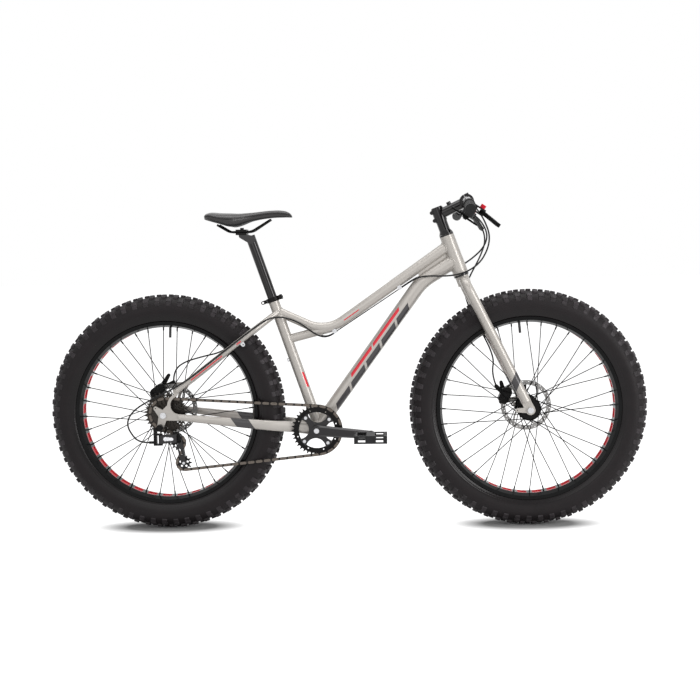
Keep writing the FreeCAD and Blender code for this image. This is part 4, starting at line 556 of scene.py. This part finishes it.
def tyre(end, axle_x, rubbers):
    """Smooth casing and the knobs on it."""
    built = vertices, faces = [], []
    profile = casing_profile()
    steps = 240
    for k in range(steps):
        for radius, side in profile:
            vertices.append(wheel_point(axle_x, radius, 2 * pi * k / steps, side))
    count = len(profile)
    for k in range(steps):
        for j in range(count - 1):
            a = k * count + j
            b = (k + 1) % steps * count + j
            faces.append((a, a + 1, b + 1, b))
    casing_faces = len(faces)
    for first, last, length, shift in knob_rows:
        for k in range(knob_count):
            left = wheel_turns[end] + 2 * pi * (k + shift) / knob_count
            right = wheel_turns[end] + 2 * pi * (k + 0.5 - shift) / knob_count
            add_knob(built, axle_x, left, first, last, length)
            add_knob(built, axle_x, right, -last, -first, length)
    obj = fitted(end + "_tread", built, rubbers, end + "_wheel", "tyre", end + "_tyre", smooth=False)
    for polygon in obj.data.polygons[:casing_faces]:
        polygon.use_smooth = True
    # the knobs take the second, lighter rubber: painted highlight
    second_finish(obj, casing_faces)


# Spokes, brake rotors, derailleur and frame joints

def circle(x, z, radius, count):
    turn = 2 * pi / count
    return [(x + radius * cos(k * turn), z + radius * sin(k * turn)) for k in range(count)]


def capsule(first, first_radius, last, last_radius, count=14):
    """Outline of two round ends and the straight sides between them."""
    run = Vector(last) - Vector(first)
    lean = atan2(run.y, run.x)
    spread = acos((first_radius - last_radius) / run.length)
    points = []
    for centre, radius, start, end in ((first, first_radius, spread, 2 * pi - spread),
                                       (last, last_radius, -spread, spread)):
        for k in range(count + 1):
            turn = lean + start + (end - start) * k / count
            points.append((centre[0] + radius * cos(turn), centre[1] + radius * sin(turn)))
    return points


def add_plate(built, outlines, side, thickness, origin=(0.0, 0.0)):
    """Flat plate across Y; the first outline is its edge and the others are openings."""
    vertices, faces = built
    curve = bpy.data.curves.new("plate", "CURVE")
    curve.dimensions = "2D"
    curve.fill_mode = "BOTH"
    curve.extrude = thickness / 2
    for outline in outlines:
        spline = curve.splines.new("POLY")
        spline.points.add(len(outline) - 1)
        for point, (x, z) in zip(spline.points, outline):
            point.co = (x, z, 0.0, 1.0)
        spline.use_cyclic_u = True
    obj = bpy.data.objects.new("plate", curve)
    mesh = bpy.data.meshes.new_from_object(obj)
    first = len(vertices)
    for vertex in mesh.vertices:
        x, z, y = vertex.co
        vertices.append(Vector((origin[0] + x, side + y, origin[1] + z)))
    for polygon in mesh.polygons:
        faces.append(tuple(first + index for index in reversed(polygon.vertices)))
    bpy.data.objects.remove(obj)
    bpy.data.curves.remove(curve)
    bpy.data.meshes.remove(mesh)


def add_pin(built, x, z, start, end, radius):
    points = [Vector((x, y, z)) for y in (start, end)]
    add_tube(built, points, [radius, radius], 20)


def spokes(end, axle_x, black_metal):
    """Crossed spokes, each with its elbow and head at the hub and its nipple at the rim."""
    right, left, hole_circle = hub_flanges[end]
    built = [], []
    for index in range(spoke_count):
        flange, stagger = ((right, -spoke_stagger), (left, spoke_stagger))[index % 2]
        lead = 1 - index // 2 % 2 * 2
        turn = wheel_turns[end] + 2 * pi * (index + 0.5) / spoke_count
        elbow = wheel_point(axle_x, hole_circle, turn + lead * spoke_lead,
                            flange + lead * spoke_beside_flange)
        head = elbow - Vector((0, lead * (spoke_beside_flange + spoke_head_beyond), 0))
        rim = wheel_point(axle_x, spoke_rim_circle, turn, stagger)
        inward = (elbow - rim).normalized()
        add_tube(built, [elbow, rim], [spoke_radius] * 2, 10)
        add_tube(built, [elbow - inward * spoke_radius, elbow, head], [spoke_radius] * 3, 10)
        add_tube(built, [rim, rim + inward * nipple_length], [nipple_radius] * 2, 10)
    fitted(end + "_spoke_set", built, [black_metal], end + "_wheel", "black_metal", end + "_spokes")


def rotor_opening(index, steps=10):
    """Opening between two of the rotor's swept arms."""
    inner, outer = rotor_openings
    points = []
    for k in range(4 * steps):
        run, part = divmod(k, steps)
        part /= steps
        out = (part, 1.0, 1.0 - part, 0.0)[run]
        across = (-1.0, 2.0 * part - 1.0, 1.0, 1.0 - 2.0 * part)[run]
        radius = inner + (outer - inner) * out
        half = pi / rotor_arm_count - rotor_arm_width / 2 / radius
        turn = 2 * pi * index / rotor_arm_count + across * half + rotor_sweep * out
        points.append((radius * cos(turn), radius * sin(turn)))
    return points


def rotor(end, axle_x, steel, bolt_metal):
    """Drilled brake track on swept arms, with a bolt at the foot of each."""
    outlines = [circle(0, 0, rotor_radius, 96), circle(0, 0, rotor_pilot, 48)]
    outlines.extend(rotor_opening(index) for index in range(rotor_arm_count))
    for index in range(rotor_hole_count):
        radius = rotor_hole_circles[index % 2]
        turn = 2 * pi * index / rotor_hole_count
        outlines.append(circle(radius * cos(turn), radius * sin(turn), rotor_hole_radius, 10))
    built = [], []
    side = rotor_sides[end]
    add_plate(built, outlines, side, rotor_thickness, (axle_x, tyre_radius))
    plate_faces = len(built[1])
    face = side + rotor_thickness / 2
    for index in range(rotor_arm_count):
        turn = 2 * pi * index / rotor_arm_count
        x = axle_x + rotor_bolt_circle * cos(turn)
        z = tyre_radius + rotor_bolt_circle * sin(turn)
        add_pin(built, x, z, face, face + rotor_bolt_height, rotor_bolt_radius)
    obj = fitted(end + "_rotor_disc", built, [steel, bolt_metal], end + "_wheel", "steel", end + "_rotor",
                 smooth=False)
    second_finish(obj, plate_faces)


def derailleur_cage(black_metal, bolt_metal):
    """Two slim plates that leave the pulleys in view, with a bolt at each pulley."""
    guide, tension = Vector(guide_centre), Vector(tension_centre)
    (high, high_radius), (low, low_radius) = cage_slot
    slot = capsule(guide.lerp(tension, high), high_radius, guide.lerp(tension, low), low_radius, 8)
    outline = capsule(cage_pivot, cage_pivot_round, tension_centre, cage_tension_round)
    built = [], []
    for side in cage_sides:
        add_plate(built, (outline, slot), side, cage_thickness)
    outer, inner = cage_sides
    add_pin(built, *cage_pivot, cage_stud_end, outer, cage_stud_radius)
    black_faces = len(built[1])
    for centre in (guide_centre, tension_centre):
        add_pin(built, *centre, outer - pulley_bolt_beyond, inner, pulley_bolt_radius)
        add_pin(built, *centre, outer - bolt_head_beyond, outer - cage_thickness / 2, bolt_head_radius)
    obj = fitted("derailleur_cage_plates", built, [black_metal, bolt_metal], "cage", "black_metal",
                 "derailleur_cage", smooth=False)
    second_finish(obj, black_faces)


def link_plate(bright_metal):
    """Bare bright plate on the outer face of the derailleur's link."""
    run = (link_tip - link_base).normalized()
    out = Vector((run.y, -run.x, 0))
    middle = (link_base + link_tip) / 2 + out * link_round
    (first, first_radius), (last, last_radius) = link_plate_ends
    loops = []
    for depth, trim in link_plate_levels:
        outline = capsule(first, first_radius - trim, last, last_radius - trim)
        loops.append([middle + run * along + Vector((0, 0, up)) + out * depth for along, up in outline])
    built = [], []
    add_loops(built, loops)
    fitted("derailleur_link_plate", built, [bright_metal], "link", "bright_metal", smooth=False)


def head_gusset(paint_finish):
    """Web between the top tube and the down tube at the head."""
    along_top = top_head_end.lerp(top_bend, gusset_reach)
    corners = [(p.x, p.z) for p in (top_head_end, along_top, down_bend, down_head_end)]
    built = [], []
    add_plate(built, [corners], 0.0, gusset_thickness)
    fitted("head_gusset", built, [paint_finish], "frame", "frame_paint", smooth=False)


def joint_line(start, direction, radius, axis_point, axis, axis_radius, count=96):
    """Line where a tube that runs along direction meets a larger tube."""
    side = direction.orthogonal().normalized()
    points = []
    for point in ring(start, side, direction.cross(side), radius, count):
        across = point - axis_point
        across -= axis * across.dot(axis)
        run = direction - axis * direction.dot(axis)
        a, b, c = run.dot(run), across.dot(run), across.dot(across) - axis_radius ** 2
        points.append(point + direction * ((-b - sqrt(max(b * b - a * c, 0.0))) / a))
    return points + points[:2]


def weld_beads(paint_finish):
    """Rippled beads of weld round the joints of the main tubes."""
    cross = Vector((0, 1, 0))
    built = [], []
    for start, end, radius, axis_point, axis, axis_radius in (
            # start, end and radius of a tube, then point, axis and radius of the tube that it meets
            (top_bend, top_head_end, 0.0174, head_foot, steer_up, 0.0231),
            (down_bend, down_head_end, 0.0232, head_foot, steer_up, 0.0240),
            (down_bend, shell_middle, 0.0210, shell_middle, cross, 0.0225),
            (seat_foot + 0.2 * seat_up, seat_foot, 0.0170, shell_middle, cross, 0.0225),
            (top_bend, top_seat_end, 0.0148, seat_foot, seat_up, 0.0170)):
        direction = (end - start).normalized()
        line = joint_line(start, direction, radius, axis_point, axis.normalized(), axis_radius)
        radii = [weld_radius * (1 + weld_ripple * sin(pi * k / 2)) for k in range(len(line))]
        add_tube(built, line, radii, 8)
    fitted("weld_beads", built, [paint_finish], "frame", "frame_paint")


# Saddle

def between(stations, t):
    """Station values at a part of the length, smooth through every station."""
    index = 0
    while index < len(stations) - 2 and stations[index + 1][0] < t:
        index += 1
    p1 = stations[index]
    p2 = stations[index + 1]
    p0 = stations[max(index - 1, 0)]
    p3 = stations[min(index + 2, len(stations) - 1)]
    span = p2[0] - p1[0]
    u = (t - p1[0]) / span
    values = []
    for k in range(1, len(p1)):
        m1 = (p2[k] - p0[k]) / (p2[0] - p0[0]) * span
        m2 = (p3[k] - p1[k]) / (p3[0] - p1[0]) * span
        values.append((2 * u**3 - 3 * u**2 + 1) * p1[k] + (u**3 - 2 * u**2 + u) * m1
                      + (3 * u**2 - 2 * u**3) * p2[k] + (u**3 - u**2) * m2)
    return values


def power(value, exponent):
    return abs(value) ** exponent * (1 if value >= 0 else -1)


def saddle_point(t, angle):
    """Point of the cover: angle 0 on the left edge, a quarter turn on the crown."""
    half, top, edge, base, tuck = between(saddle_stations, t)
    rounded = 1.0
    for near in (t / saddle_rounding, (1 - t) / saddle_rounding):
        if near < 1:
            rounded *= sqrt(max(1 - (1 - near) ** 2, 0.0))
    up = sin(angle)
    if up >= 0:
        y = power(cos(angle), 0.82)
        z = edge + (top - edge) * up ** 0.95
    else:
        y = power(cos(angle), 0.45) * (1 + (tuck - 1) * -up)
        z = edge + (base - edge) * (-up) ** 0.8
        z += saddle_hollow * (edge - base) * max(1 - (y / 0.8) ** 2, 0.0)
    y *= half * saddle_half
    middle = (edge + base) / 2
    if up > 0:
        first, last = relief_run
        part = min(max((t - first) / (last - first), 0), 1)
        z -= relief_depth * max(sin(pi * part), 0) * exp(-(y / relief_half) ** 2)
    z = saddle_level + middle + (z - middle) * rounded
    return Vector((saddle_tail + saddle_length * t, y * rounded, z))


def saddle_cover(leather, shell):
    """Padded cover; the lower part of it is the hard shell."""
    loops = []
    for row in range(saddle_rows + 1):
        t = 0.5 - 0.5 * cos(pi * row / saddle_rows)
        t = min(max(t, saddle_tip), 1 - saddle_tip)
        loops.append([saddle_point(t, 2 * pi * k / saddle_around) for k in range(saddle_around)])
    built = [], []
    add_loops(built, loops)
    obj = fitted("saddle_cover", built, [leather, shell], "seat", "saddle_cover", "saddle")
    first, last = (saddle_around * share for share in shell_share)
    for index, polygon in enumerate(obj.data.polygons):
        if index < saddle_rows * saddle_around and first < index % saddle_around < last:
            polygon.material_index = 1


def saddle_seams(piping, thread):
    """Piping along both edges of the cover, and a row of stitches above it."""
    seams = [], []
    stitches = [], []
    for angle in piping_angles:
        points = [saddle_point(0.02 + 0.96 * k / piping_steps, angle) for k in range(piping_steps + 1)]
        add_tube(seams, points, [piping_radius] * len(points), 8)
    for angle in stitch_angles:
        for k in range(stitch_count):
            points = [saddle_point(0.03 + 0.94 * (k + part) / stitch_count, angle) for part, radius in stitch]
            add_tube(stitches, points, [radius for part, radius in stitch], 6)
    fitted("saddle_piping", seams, [piping], "seat", "saddle_cover")
    fitted("saddle_stitches", stitches, [thread], "seat", "saddle_cover")


# Materials

def feed(tree, socket, value):
    """Link a node's output to a socket, or set the socket to a number."""
    if isinstance(value, bpy.types.NodeSocket):
        tree.links.new(value, socket)
    else:
        socket.default_value = value


def set_inputs(tree, node, **values):
    """Link or set inputs of a node by name, with _ for a space."""
    for name, value in values.items():
        feed(tree, node.inputs[name.replace("_", " ")], value)


def maths(tree, operation, first, second=0.0):
    node = tree.nodes.new("ShaderNodeMath")
    node.operation = operation
    feed(tree, node.inputs[0], first)
    feed(tree, node.inputs[1], second)
    return node.outputs[0]


def here(tree):
    return tree.nodes.new("ShaderNodeTexCoord").outputs["Object"]


def axes(tree):
    """X, Y and Z of the surface point."""
    split = tree.nodes.new("ShaderNodeSeparateXYZ")
    set_inputs(tree, split, Vector=here(tree))
    return tuple(split.outputs)


def noise(tree, scale, detail):
    node = tree.nodes.new("ShaderNodeTexNoise")
    set_inputs(tree, node, Scale=scale, Detail=detail, Vector=here(tree))
    return node.outputs["Fac"]


def cells(tree, scale):
    node = tree.nodes.new("ShaderNodeTexVoronoi")
    set_inputs(tree, node, Scale=scale, Vector=here(tree))
    return node.outputs["Distance"]


def blended(tree, mask, first, second):
    """Colour or colour output mixed by a mask."""
    node = tree.nodes.new("ShaderNodeMix")
    node.data_type = "RGBA"
    tree.links.new(mask, node.inputs["Factor"])
    for name, value in (("A", first), ("B", second)):
        socket = [s for s in node.inputs if s.name == name and s.type == "RGBA"][0]
        feed(tree, socket, value if isinstance(value, bpy.types.NodeSocket) else (*value, 1.0))
    return [s for s in node.outputs if s.type == "RGBA"][0]


def ranged(tree, value, low, high, start=0.0, end=1.0):
    node = tree.nodes.new("ShaderNodeMapRange")
    set_inputs(tree, node, Value=value, From_Min=start, From_Max=end, To_Min=low, To_Max=high)
    return node.outputs["Result"]


def mottled(tree, low, high, scale, detail, end=0.7):
    """Colour that drifts between two colours in soft patches."""
    return blended(tree, ranged(tree, noise(tree, scale, detail), 0.0, 1.0, 0.35, end), low, high)


def add_bump(tree, shader, height, distance, strength):
    node = tree.nodes.new("ShaderNodeBump")
    set_inputs(tree, node, Strength=strength, Distance=distance, Height=height)
    set_inputs(tree, shader, Normal=node.outputs["Normal"])


def surface(name, roughness, metallic=0.0, **sockets):
    material = bpy.data.materials.new(name)
    material.use_nodes = True
    tree = material.node_tree
    shader = tree.nodes["Principled BSDF"]
    set_inputs(tree, shader, Roughness=roughness, Metallic=metallic, **sockets)
    return material, tree, shader


def on_right(tree):
    """Surface point, with points of the left half mirrored to the right."""
    x, y, z = axes(tree)
    right = maths(tree, "MULTIPLY", maths(tree, "ABSOLUTE", y), -1.0)
    joined = tree.nodes.new("ShaderNodeCombineXYZ")
    set_inputs(tree, joined, X=x, Y=right, Z=z)
    return joined.outputs["Vector"]


def offset_along(tree, origin, direction, place=None):
    """Distance of a surface point from the origin, measured along a direction."""
    less = tree.nodes.new("ShaderNodeVectorMath")
    less.operation = "SUBTRACT"
    tree.links.new(place or here(tree), less.inputs[0])
    less.inputs[1].default_value = origin
    dot = tree.nodes.new("ShaderNodeVectorMath")
    dot.operation = "DOT_PRODUCT"
    tree.links.new(less.outputs["Vector"], dot.inputs[0])
    dot.inputs[1].default_value = direction
    return dot.outputs["Value"]


def within(tree, value, low, high):
    above = maths(tree, "GREATER_THAN", value, low)
    below = maths(tree, "LESS_THAN", value, high)
    return maths(tree, "MULTIPLY", above, below)


def stripe_mask(tree, start, end, along, across, slant):
    """1 inside a band beside the line from start to end, with slanted ends."""
    direction = (end - start).normalized()
    upward = Vector((-direction.z, 0, direction.x))
    up = offset_along(tree, start, upward)
    run = maths(tree, "SUBTRACT", offset_along(tree, start, direction), maths(tree, "MULTIPLY", up, slant))
    return maths(tree, "MULTIPLY", within(tree, run, *along), within(tree, up, *across))


def paint(name, *stripes):
    """Satin silver paint with fine flakes and a thin clear coat."""
    material, tree, shader = surface(name, 0.36, 0.28, Coat_Weight=0.25, Coat_Roughness=0.16)
    flakes = ranged(tree, noise(tree, 2600.0, 1.0), 0.95, 1.05, 0.3, 0.7)
    drift = ranged(tree, noise(tree, 9.0, 3.0), 0.97, 1.03, 0.3, 0.7)
    tinted = tree.nodes.new("ShaderNodeVectorMath")
    tinted.operation = "SCALE"
    set_inputs(tree, tinted, Vector=silver_paint, Scale=maths(tree, "MULTIPLY", flakes, drift))
    colour = tinted.outputs["Vector"]
    for tint, *band in stripes:
        colour = blended(tree, stripe_mask(tree, *band), colour, tint)
    set_inputs(tree, shader, Base_Color=colour, Roughness=ranged(tree, noise(tree, 60.0, 4.0), 0.32, 0.42))
    add_bump(tree, shader, noise(tree, 420.0, 2.0), 0.00004, 0.25)
    return material


def dark_metal(name, low, high, roughness, shine, gloss, grain):
    """Black anodised or painted metal with faint mottling and rubbed spots."""
    material, tree, shader = surface(name, roughness, 0.35, Coat_Weight=gloss, Coat_Roughness=0.08,
                                     Specular_IOR_Level=shine)
    spread = ranged(tree, noise(tree, 130.0, 4.0), roughness - 0.06, roughness + 0.08)
    set_inputs(tree, shader, Base_Color=mottled(tree, low, high, 45.0, 5.0), Roughness=spread)
    add_bump(tree, shader, noise(tree, grain, 3.0), 0.00008, 0.4)
    return material


def bare_metal(name, low, high, roughness):
    """Bare metal with fine ground marks."""
    material, tree, shader = surface(name, roughness, 0.95)
    marks = noise(tree, 400.0, 4.0)
    colour = blended(tree, ranged(tree, marks, 0.0, 1.0, 0.3, 0.7), low, high)
    spread = ranged(tree, marks, roughness - 0.08, roughness + 0.10)
    set_inputs(tree, shader, Base_Color=colour, Roughness=spread)
    add_bump(tree, shader, marks, 0.00004, 0.5)
    return material


def chain_steel(name):
    """Lighter outer plates and pins, dark oiled inner plates."""
    material, tree, shader = surface(name, 0.34, 0.9)
    aside = maths(tree, "ABSOLUTE", maths(tree, "ADD", axes(tree)[1], chain_line))
    outer = maths(tree, "GREATER_THAN", aside, inner_plate_side)
    marks = ranged(tree, noise(tree, 500.0, 4.0), 0.0, 1.0, 0.3, 0.7)
    dark = blended(tree, marks, linear(26, 24, 23), linear(44, 42, 40))
    light = blended(tree, marks, linear(78, 72, 67), linear(112, 104, 97))
    colour = blended(tree, outer, dark, light)
    set_inputs(tree, shader, Base_Color=colour, Roughness=ranged(tree, marks, 0.26, 0.44))
    add_bump(tree, shader, marks, 0.00004, 0.4)
    return material


def radius_from(tree, axle_x):
    """Distance of a surface point from a wheel's axle."""
    x, _, z = axes(tree)
    across = maths(tree, "SUBTRACT", x, axle_x)
    up = maths(tree, "SUBTRACT", z, tyre_radius)
    square = maths(tree, "ADD", maths(tree, "MULTIPLY", across, across), maths(tree, "MULTIPLY", up, up))
    return maths(tree, "SQRT", square)


def tyre_rubber(name, axle_x):
    """Black casing rubber with fine lines beside the rim and a polished lower wall."""
    material, tree, shader = surface(name, 0.6, 0.0, Specular_IOR_Level=dull_shine)
    radius = radius_from(tree, axle_x)
    colour = mottled(tree, linear(13, 8, 10), linear(20, 14, 16), 35.0, 6.0, 0.75)
    polish = ranged(tree, radius, 0.56, 0.22, *polished_wall)
    rough = maths(tree, "ADD", polish, ranged(tree, noise(tree, 80.0, 4.0), -0.04, 0.05))
    set_inputs(tree, shader, Base_Color=colour, Roughness=rough)
    lines = maths(tree, "SINE", maths(tree, "MULTIPLY", radius, wall_lines))
    lines = maths(tree, "MULTIPLY", lines, ranged(tree, radius, 0.25, 0.0, *wall_lines_fade))
    add_bump(tree, shader, maths(tree, "ADD", lines, noise(tree, 900.0, 3.0)), 0.00012, 0.4)
    return material


def rim_finish(name, axle_x, wheel_turn):
    """Gloss black rim with the red of the strip showing round its windows, but none at the valve."""
    material, tree, shader = surface(name, 0.16, 0.2, Specular_IOR_Level=0.14)
    x, y, z = axes(tree)
    ahead = maths(tree, "SUBTRACT", x, axle_x)
    turn = maths(tree, "ARCTAN2", ahead, maths(tree, "SUBTRACT", z, tyre_radius))
    step = maths(tree, "DIVIDE", maths(tree, "SUBTRACT", turn, wheel_turn), window_step)
    nearest = maths(tree, "ROUND", step)
    off = maths(tree, "ABSOLUTE", maths(tree, "SUBTRACT", step, nearest))
    window = maths(tree, "LESS_THAN", off, window_half / window_step)
    past_valve = maths(tree, "GREATER_THAN", maths(tree, "ABSOLUTE", nearest), 0.5)
    window = maths(tree, "MULTIPLY", window, past_valve)
    middle = maths(tree, "LESS_THAN", maths(tree, "ABSOLUTE", y), window_half_width)
    base = mottled(tree, linear(9, 9, 10), linear(17, 17, 18), 45.0, 5.0)
    red = mottled(tree, linear(200, 24, 40), linear(224, 38, 52), 45.0, 5.0)
    colour = blended(tree, maths(tree, "MULTIPLY", window, middle), base, red)
    set_inputs(tree, shader, Base_Color=colour, Roughness=ranged(tree, noise(tree, 130.0, 4.0), 0.12, 0.24))
    add_bump(tree, shader, noise(tree, 300.0, 3.0), 0.00005, 0.3)
    return material


def strip_and_valve(name, axle_x):
    """Red rim strip at the rim, black tube and valve elsewhere."""
    material, tree, shader = surface(name, 0.5)
    on_rim = within(tree, radius_from(tree, axle_x), *strip_radii)
    red = mottled(tree, linear(196, 26, 40), linear(222, 40, 52), 700.0, 2.0, 0.65)
    set_inputs(tree, shader, Base_Color=blended(tree, on_rim, black, red))
    add_bump(tree, shader, noise(tree, 900.0, 2.0), 0.0001, 0.5)
    return material


def moulded(name, low, high, roughness, grain, depth):
    """Moulded plastic or rubber with an even grain."""
    material, tree, shader = surface(name, roughness, 0.0, Specular_IOR_Level=dull_shine)
    spread = ranged(tree, noise(tree, 150.0, 3.0), roughness - 0.05, roughness + 0.08)
    set_inputs(tree, shader, Base_Color=mottled(tree, low, high, 40.0, 4.0), Roughness=spread)
    add_bump(tree, shader, cells(tree, grain), depth, 0.7)
    return material


def ribbed_grip(name):
    """Soft rubber grip with close ribs round it and smooth ends, the grooves between the ribs painted darker
    as shade.
    """
    material, tree, shader = surface(name, 0.62, 0.0, Specular_IOR_Level=dull_shine)
    out = maths(tree, "ABSOLUTE", axes(tree)[1])
    ribs = maths(tree, "SINE", maths(tree, "MULTIPLY", out, 2 * pi / rib_pitch))
    ribs = maths(tree, "MULTIPLY", ribs, within(tree, out, *ribbed_run))
    # the colour follows the ribs, darker in the grooves than on the crests: painted shade
    painted_rib_shade = ranged(tree, ribs, 0.0, 1.0, -1.0, 1.0)
    set_inputs(tree, shader, Base_Color=blended(tree, painted_rib_shade, linear(16, 16, 17), linear(33, 33, 34)))
    height = maths(tree, "ADD", ribs, maths(tree, "MULTIPLY", noise(tree, 800.0, 2.0), 0.4))
    add_bump(tree, shader, height, 0.0006, 0.8)
    return material


def grained_leather(name):
    """Black leather with a fine cell grain and a soft coat."""
    material, tree, shader = surface(name, 0.4, 0.0, Specular_IOR_Level=0.3, Coat_Weight=0.5,
                                     Coat_Roughness=0.2)
    grain = cells(tree, 620.0)
    pores = ranged(tree, grain, 0.0, 1.0, 0.1, 0.6)
    colour = blended(tree, pores, linear(26, 21, 21), linear(14, 10, 11))
    set_inputs(tree, shader, Base_Color=colour, Roughness=ranged(tree, noise(tree, 50.0, 4.0), 0.34, 0.50))
    add_bump(tree, shader, grain, 0.0002, 0.4)
    return material


def bracket_plastic(name):
    """Black control housings with a red cap above each lever's pivot."""
    material, tree, shader = surface(name, 0.42, 0.0, Specular_IOR_Level=dull_shine)
    place = on_right(tree)
    above = maths(tree, "GREATER_THAN", offset_along(tree, lever_clamp, lever_up, place), cap_foot)
    ahead = within(tree, offset_along(tree, lever_clamp, lever_ahead, place), *cap_reach)
    base = mottled(tree, black, linear(36, 36, 38), 60.0, 4.0)
    colour = blended(tree, maths(tree, "MULTIPLY", above, ahead), base, stripe_red)
    set_inputs(tree, shader, Base_Color=colour)
    add_bump(tree, shader, cells(tree, 900.0), 0.0001, 0.5)
    return material


def make_materials():
    made = {}
    for key, name, *stripes in paints:
        made[key] = paint(name, *stripes)
    for kind, rows in ((dark_metal, dark_metals), (bare_metal, bare_metals), (moulded, mouldings)):
        for key, name, low, high, *values in rows:
            made[key] = kind(name, linear(*low), linear(*high), *values)
    made["chain"] = chain_steel("chain_steel")
    made["grip"] = ribbed_grip("grip_rubber")
    made["leather"] = grained_leather("saddle_leather")
    made["bracket"] = bracket_plastic("control_plastic")
    return made


node_finishes = {
    **{name: (name,) for name in ("top_tube", "down_tube", "seat_tube", "rear_stays", "fork", "chain")},
    "plain_paint": ("head_tube", "bb_shell", "rear_dropouts"),
    "satin_black": ("bottom_bracket", "seat_clamp", "saddle_clamp", "rear_caliper", "front_caliper",
                    "rear_caliper_arm", "front_caliper_arm", "seat_clamp_lever", "front_qr_lever",
                    "front_hub", "rear_hub", "chainring", "derailleur_body", "derailleur_knuckle"),
    "gloss_black": ("crank_arms", "derailleur_link", "seat_post", "stem", "handlebar", "headset_cups"),
    "bright": ("frame_fittings", "rear_axle", "front_axle", "crank_axles"),
    "cogs": ("cassette",),
    "spoke": ("saddle_rails",),
    "plastic": ("right_pedal", "left_pedal", "guide_pulley", "tension_pulley"),
    "matt": ("shift_thumb_lever", "shift_trigger", "right_brake_lever", "left_brake_lever"),
    "grip": ("grips",),
    "bracket": ("lever_brackets",)}


# Studio

def seen_directly(tree):
    """1 for rays of the camera, and for what gloss and glass show."""
    path = tree.nodes.new("ShaderNodeLightPath")
    mirrored = maths(tree, "MAXIMUM", path.outputs["Is Glossy Ray"], path.outputs["Is Transmission Ray"])
    return maths(tree, "MAXIMUM", path.outputs["Is Camera Ray"], mirrored)


def floor_glow_with_painted_shadows(tree):
    """White glow of the floor, taken away in an ellipse at the foot of each wheel, where the grey floor shows
    dark as a painted shadow.
    """
    x, y, _ = axes(tree)
    ahead = maths(tree, "SUBTRACT", maths(tree, "ABSOLUTE", x), half_wheelbase)
    ahead = maths(tree, "DIVIDE", maths(tree, "ABSOLUTE", ahead), painted_shadow_half_length)
    aside = maths(tree, "DIVIDE", maths(tree, "ABSOLUTE", y), painted_shadow_half_width)
    square = maths(tree, "ADD", maths(tree, "POWER", ahead, 2.0), maths(tree, "POWER", aside, 2.0))
    return ranged(tree, maths(tree, "SQRT", square), painted_shadow_glow, far_glow, *glow_edge)


def lamp(name, place, target, width, height, watts):
    data = bpy.data.lights.new(name, "AREA")
    data.shape = "RECTANGLE"
    data.size = width
    data.size_y = height
    data.energy = watts
    obj = placed(name, data)
    obj.location = place
    obj.rotation_euler = (Vector(target) - Vector(place)).to_track_quat("-Z", "Y").to_euler()


def make_studio():
    corners = [Vector((x * floor_half, y * floor_half, 0)) for x, y in ((-1, -1), (1, -1), (1, 1), (-1, 1))]
    floor = piece("floor", corners, [(0, 1, 2, 3)], smooth=False)
    material, tree, shader = surface("floor_white", 0.9)
    # painted shadow: the floor's glow is taken away at the feet of the wheels
    glow = maths(tree, "MULTIPLY", seen_directly(tree), floor_glow_with_painted_shadows(tree))
    set_inputs(tree, shader, Base_Color=(floor_grey, floor_grey, floor_grey, 1.0),
               Emission_Color=(1.0, 1.0, 1.0, 1.0), Emission_Strength=glow)
    dress(floor, material)
    world = bpy.data.worlds.new("studio")
    world.use_nodes = True
    scene.world = world
    tree = world.node_tree
    strength = ranged(tree, seen_directly(tree), sky_light, 1.0)
    set_inputs(tree, tree.nodes["Background"], Color=(1.0, 1.0, 1.0, 1.0), Strength=strength)
    for row in lamps:
        lamp(*row)


make_camera()
finish = make_materials()
make_cables(finish["cover"], finish["bright"], finish["cogs"])
for finish_name, names in node_finishes.items():
    for node_name in names:
        dress(nodes[node_name], finish[finish_name])
for end, axle_x in (("front", half_wheelbase), ("rear", -half_wheelbase)):
    tyre(end, axle_x, [tyre_rubber(end + "_tyre_rubber", axle_x), finish["knob"]])
    dress(nodes[end + "_inner_tube"], strip_and_valve(end + "_strip", axle_x))
    dress(nodes[end + "_rim"], rim_finish(end + "_rim_black", axle_x, wheel_turns[end]))
    rotor(end, axle_x, finish["rotor"], finish["bright"])
    spokes(end, axle_x, finish["spoke"])
derailleur_cage(finish["gloss_black"], finish["bright"])
link_plate(finish["bright"])
head_gusset(finish["plain_paint"])
weld_beads(finish["plain_paint"])
saddle_cover(finish["leather"], finish["plastic"])
saddle_seams(finish["rubber"], finish["thread"])
make_studio()
scene.view_settings.view_transform = "Standard"
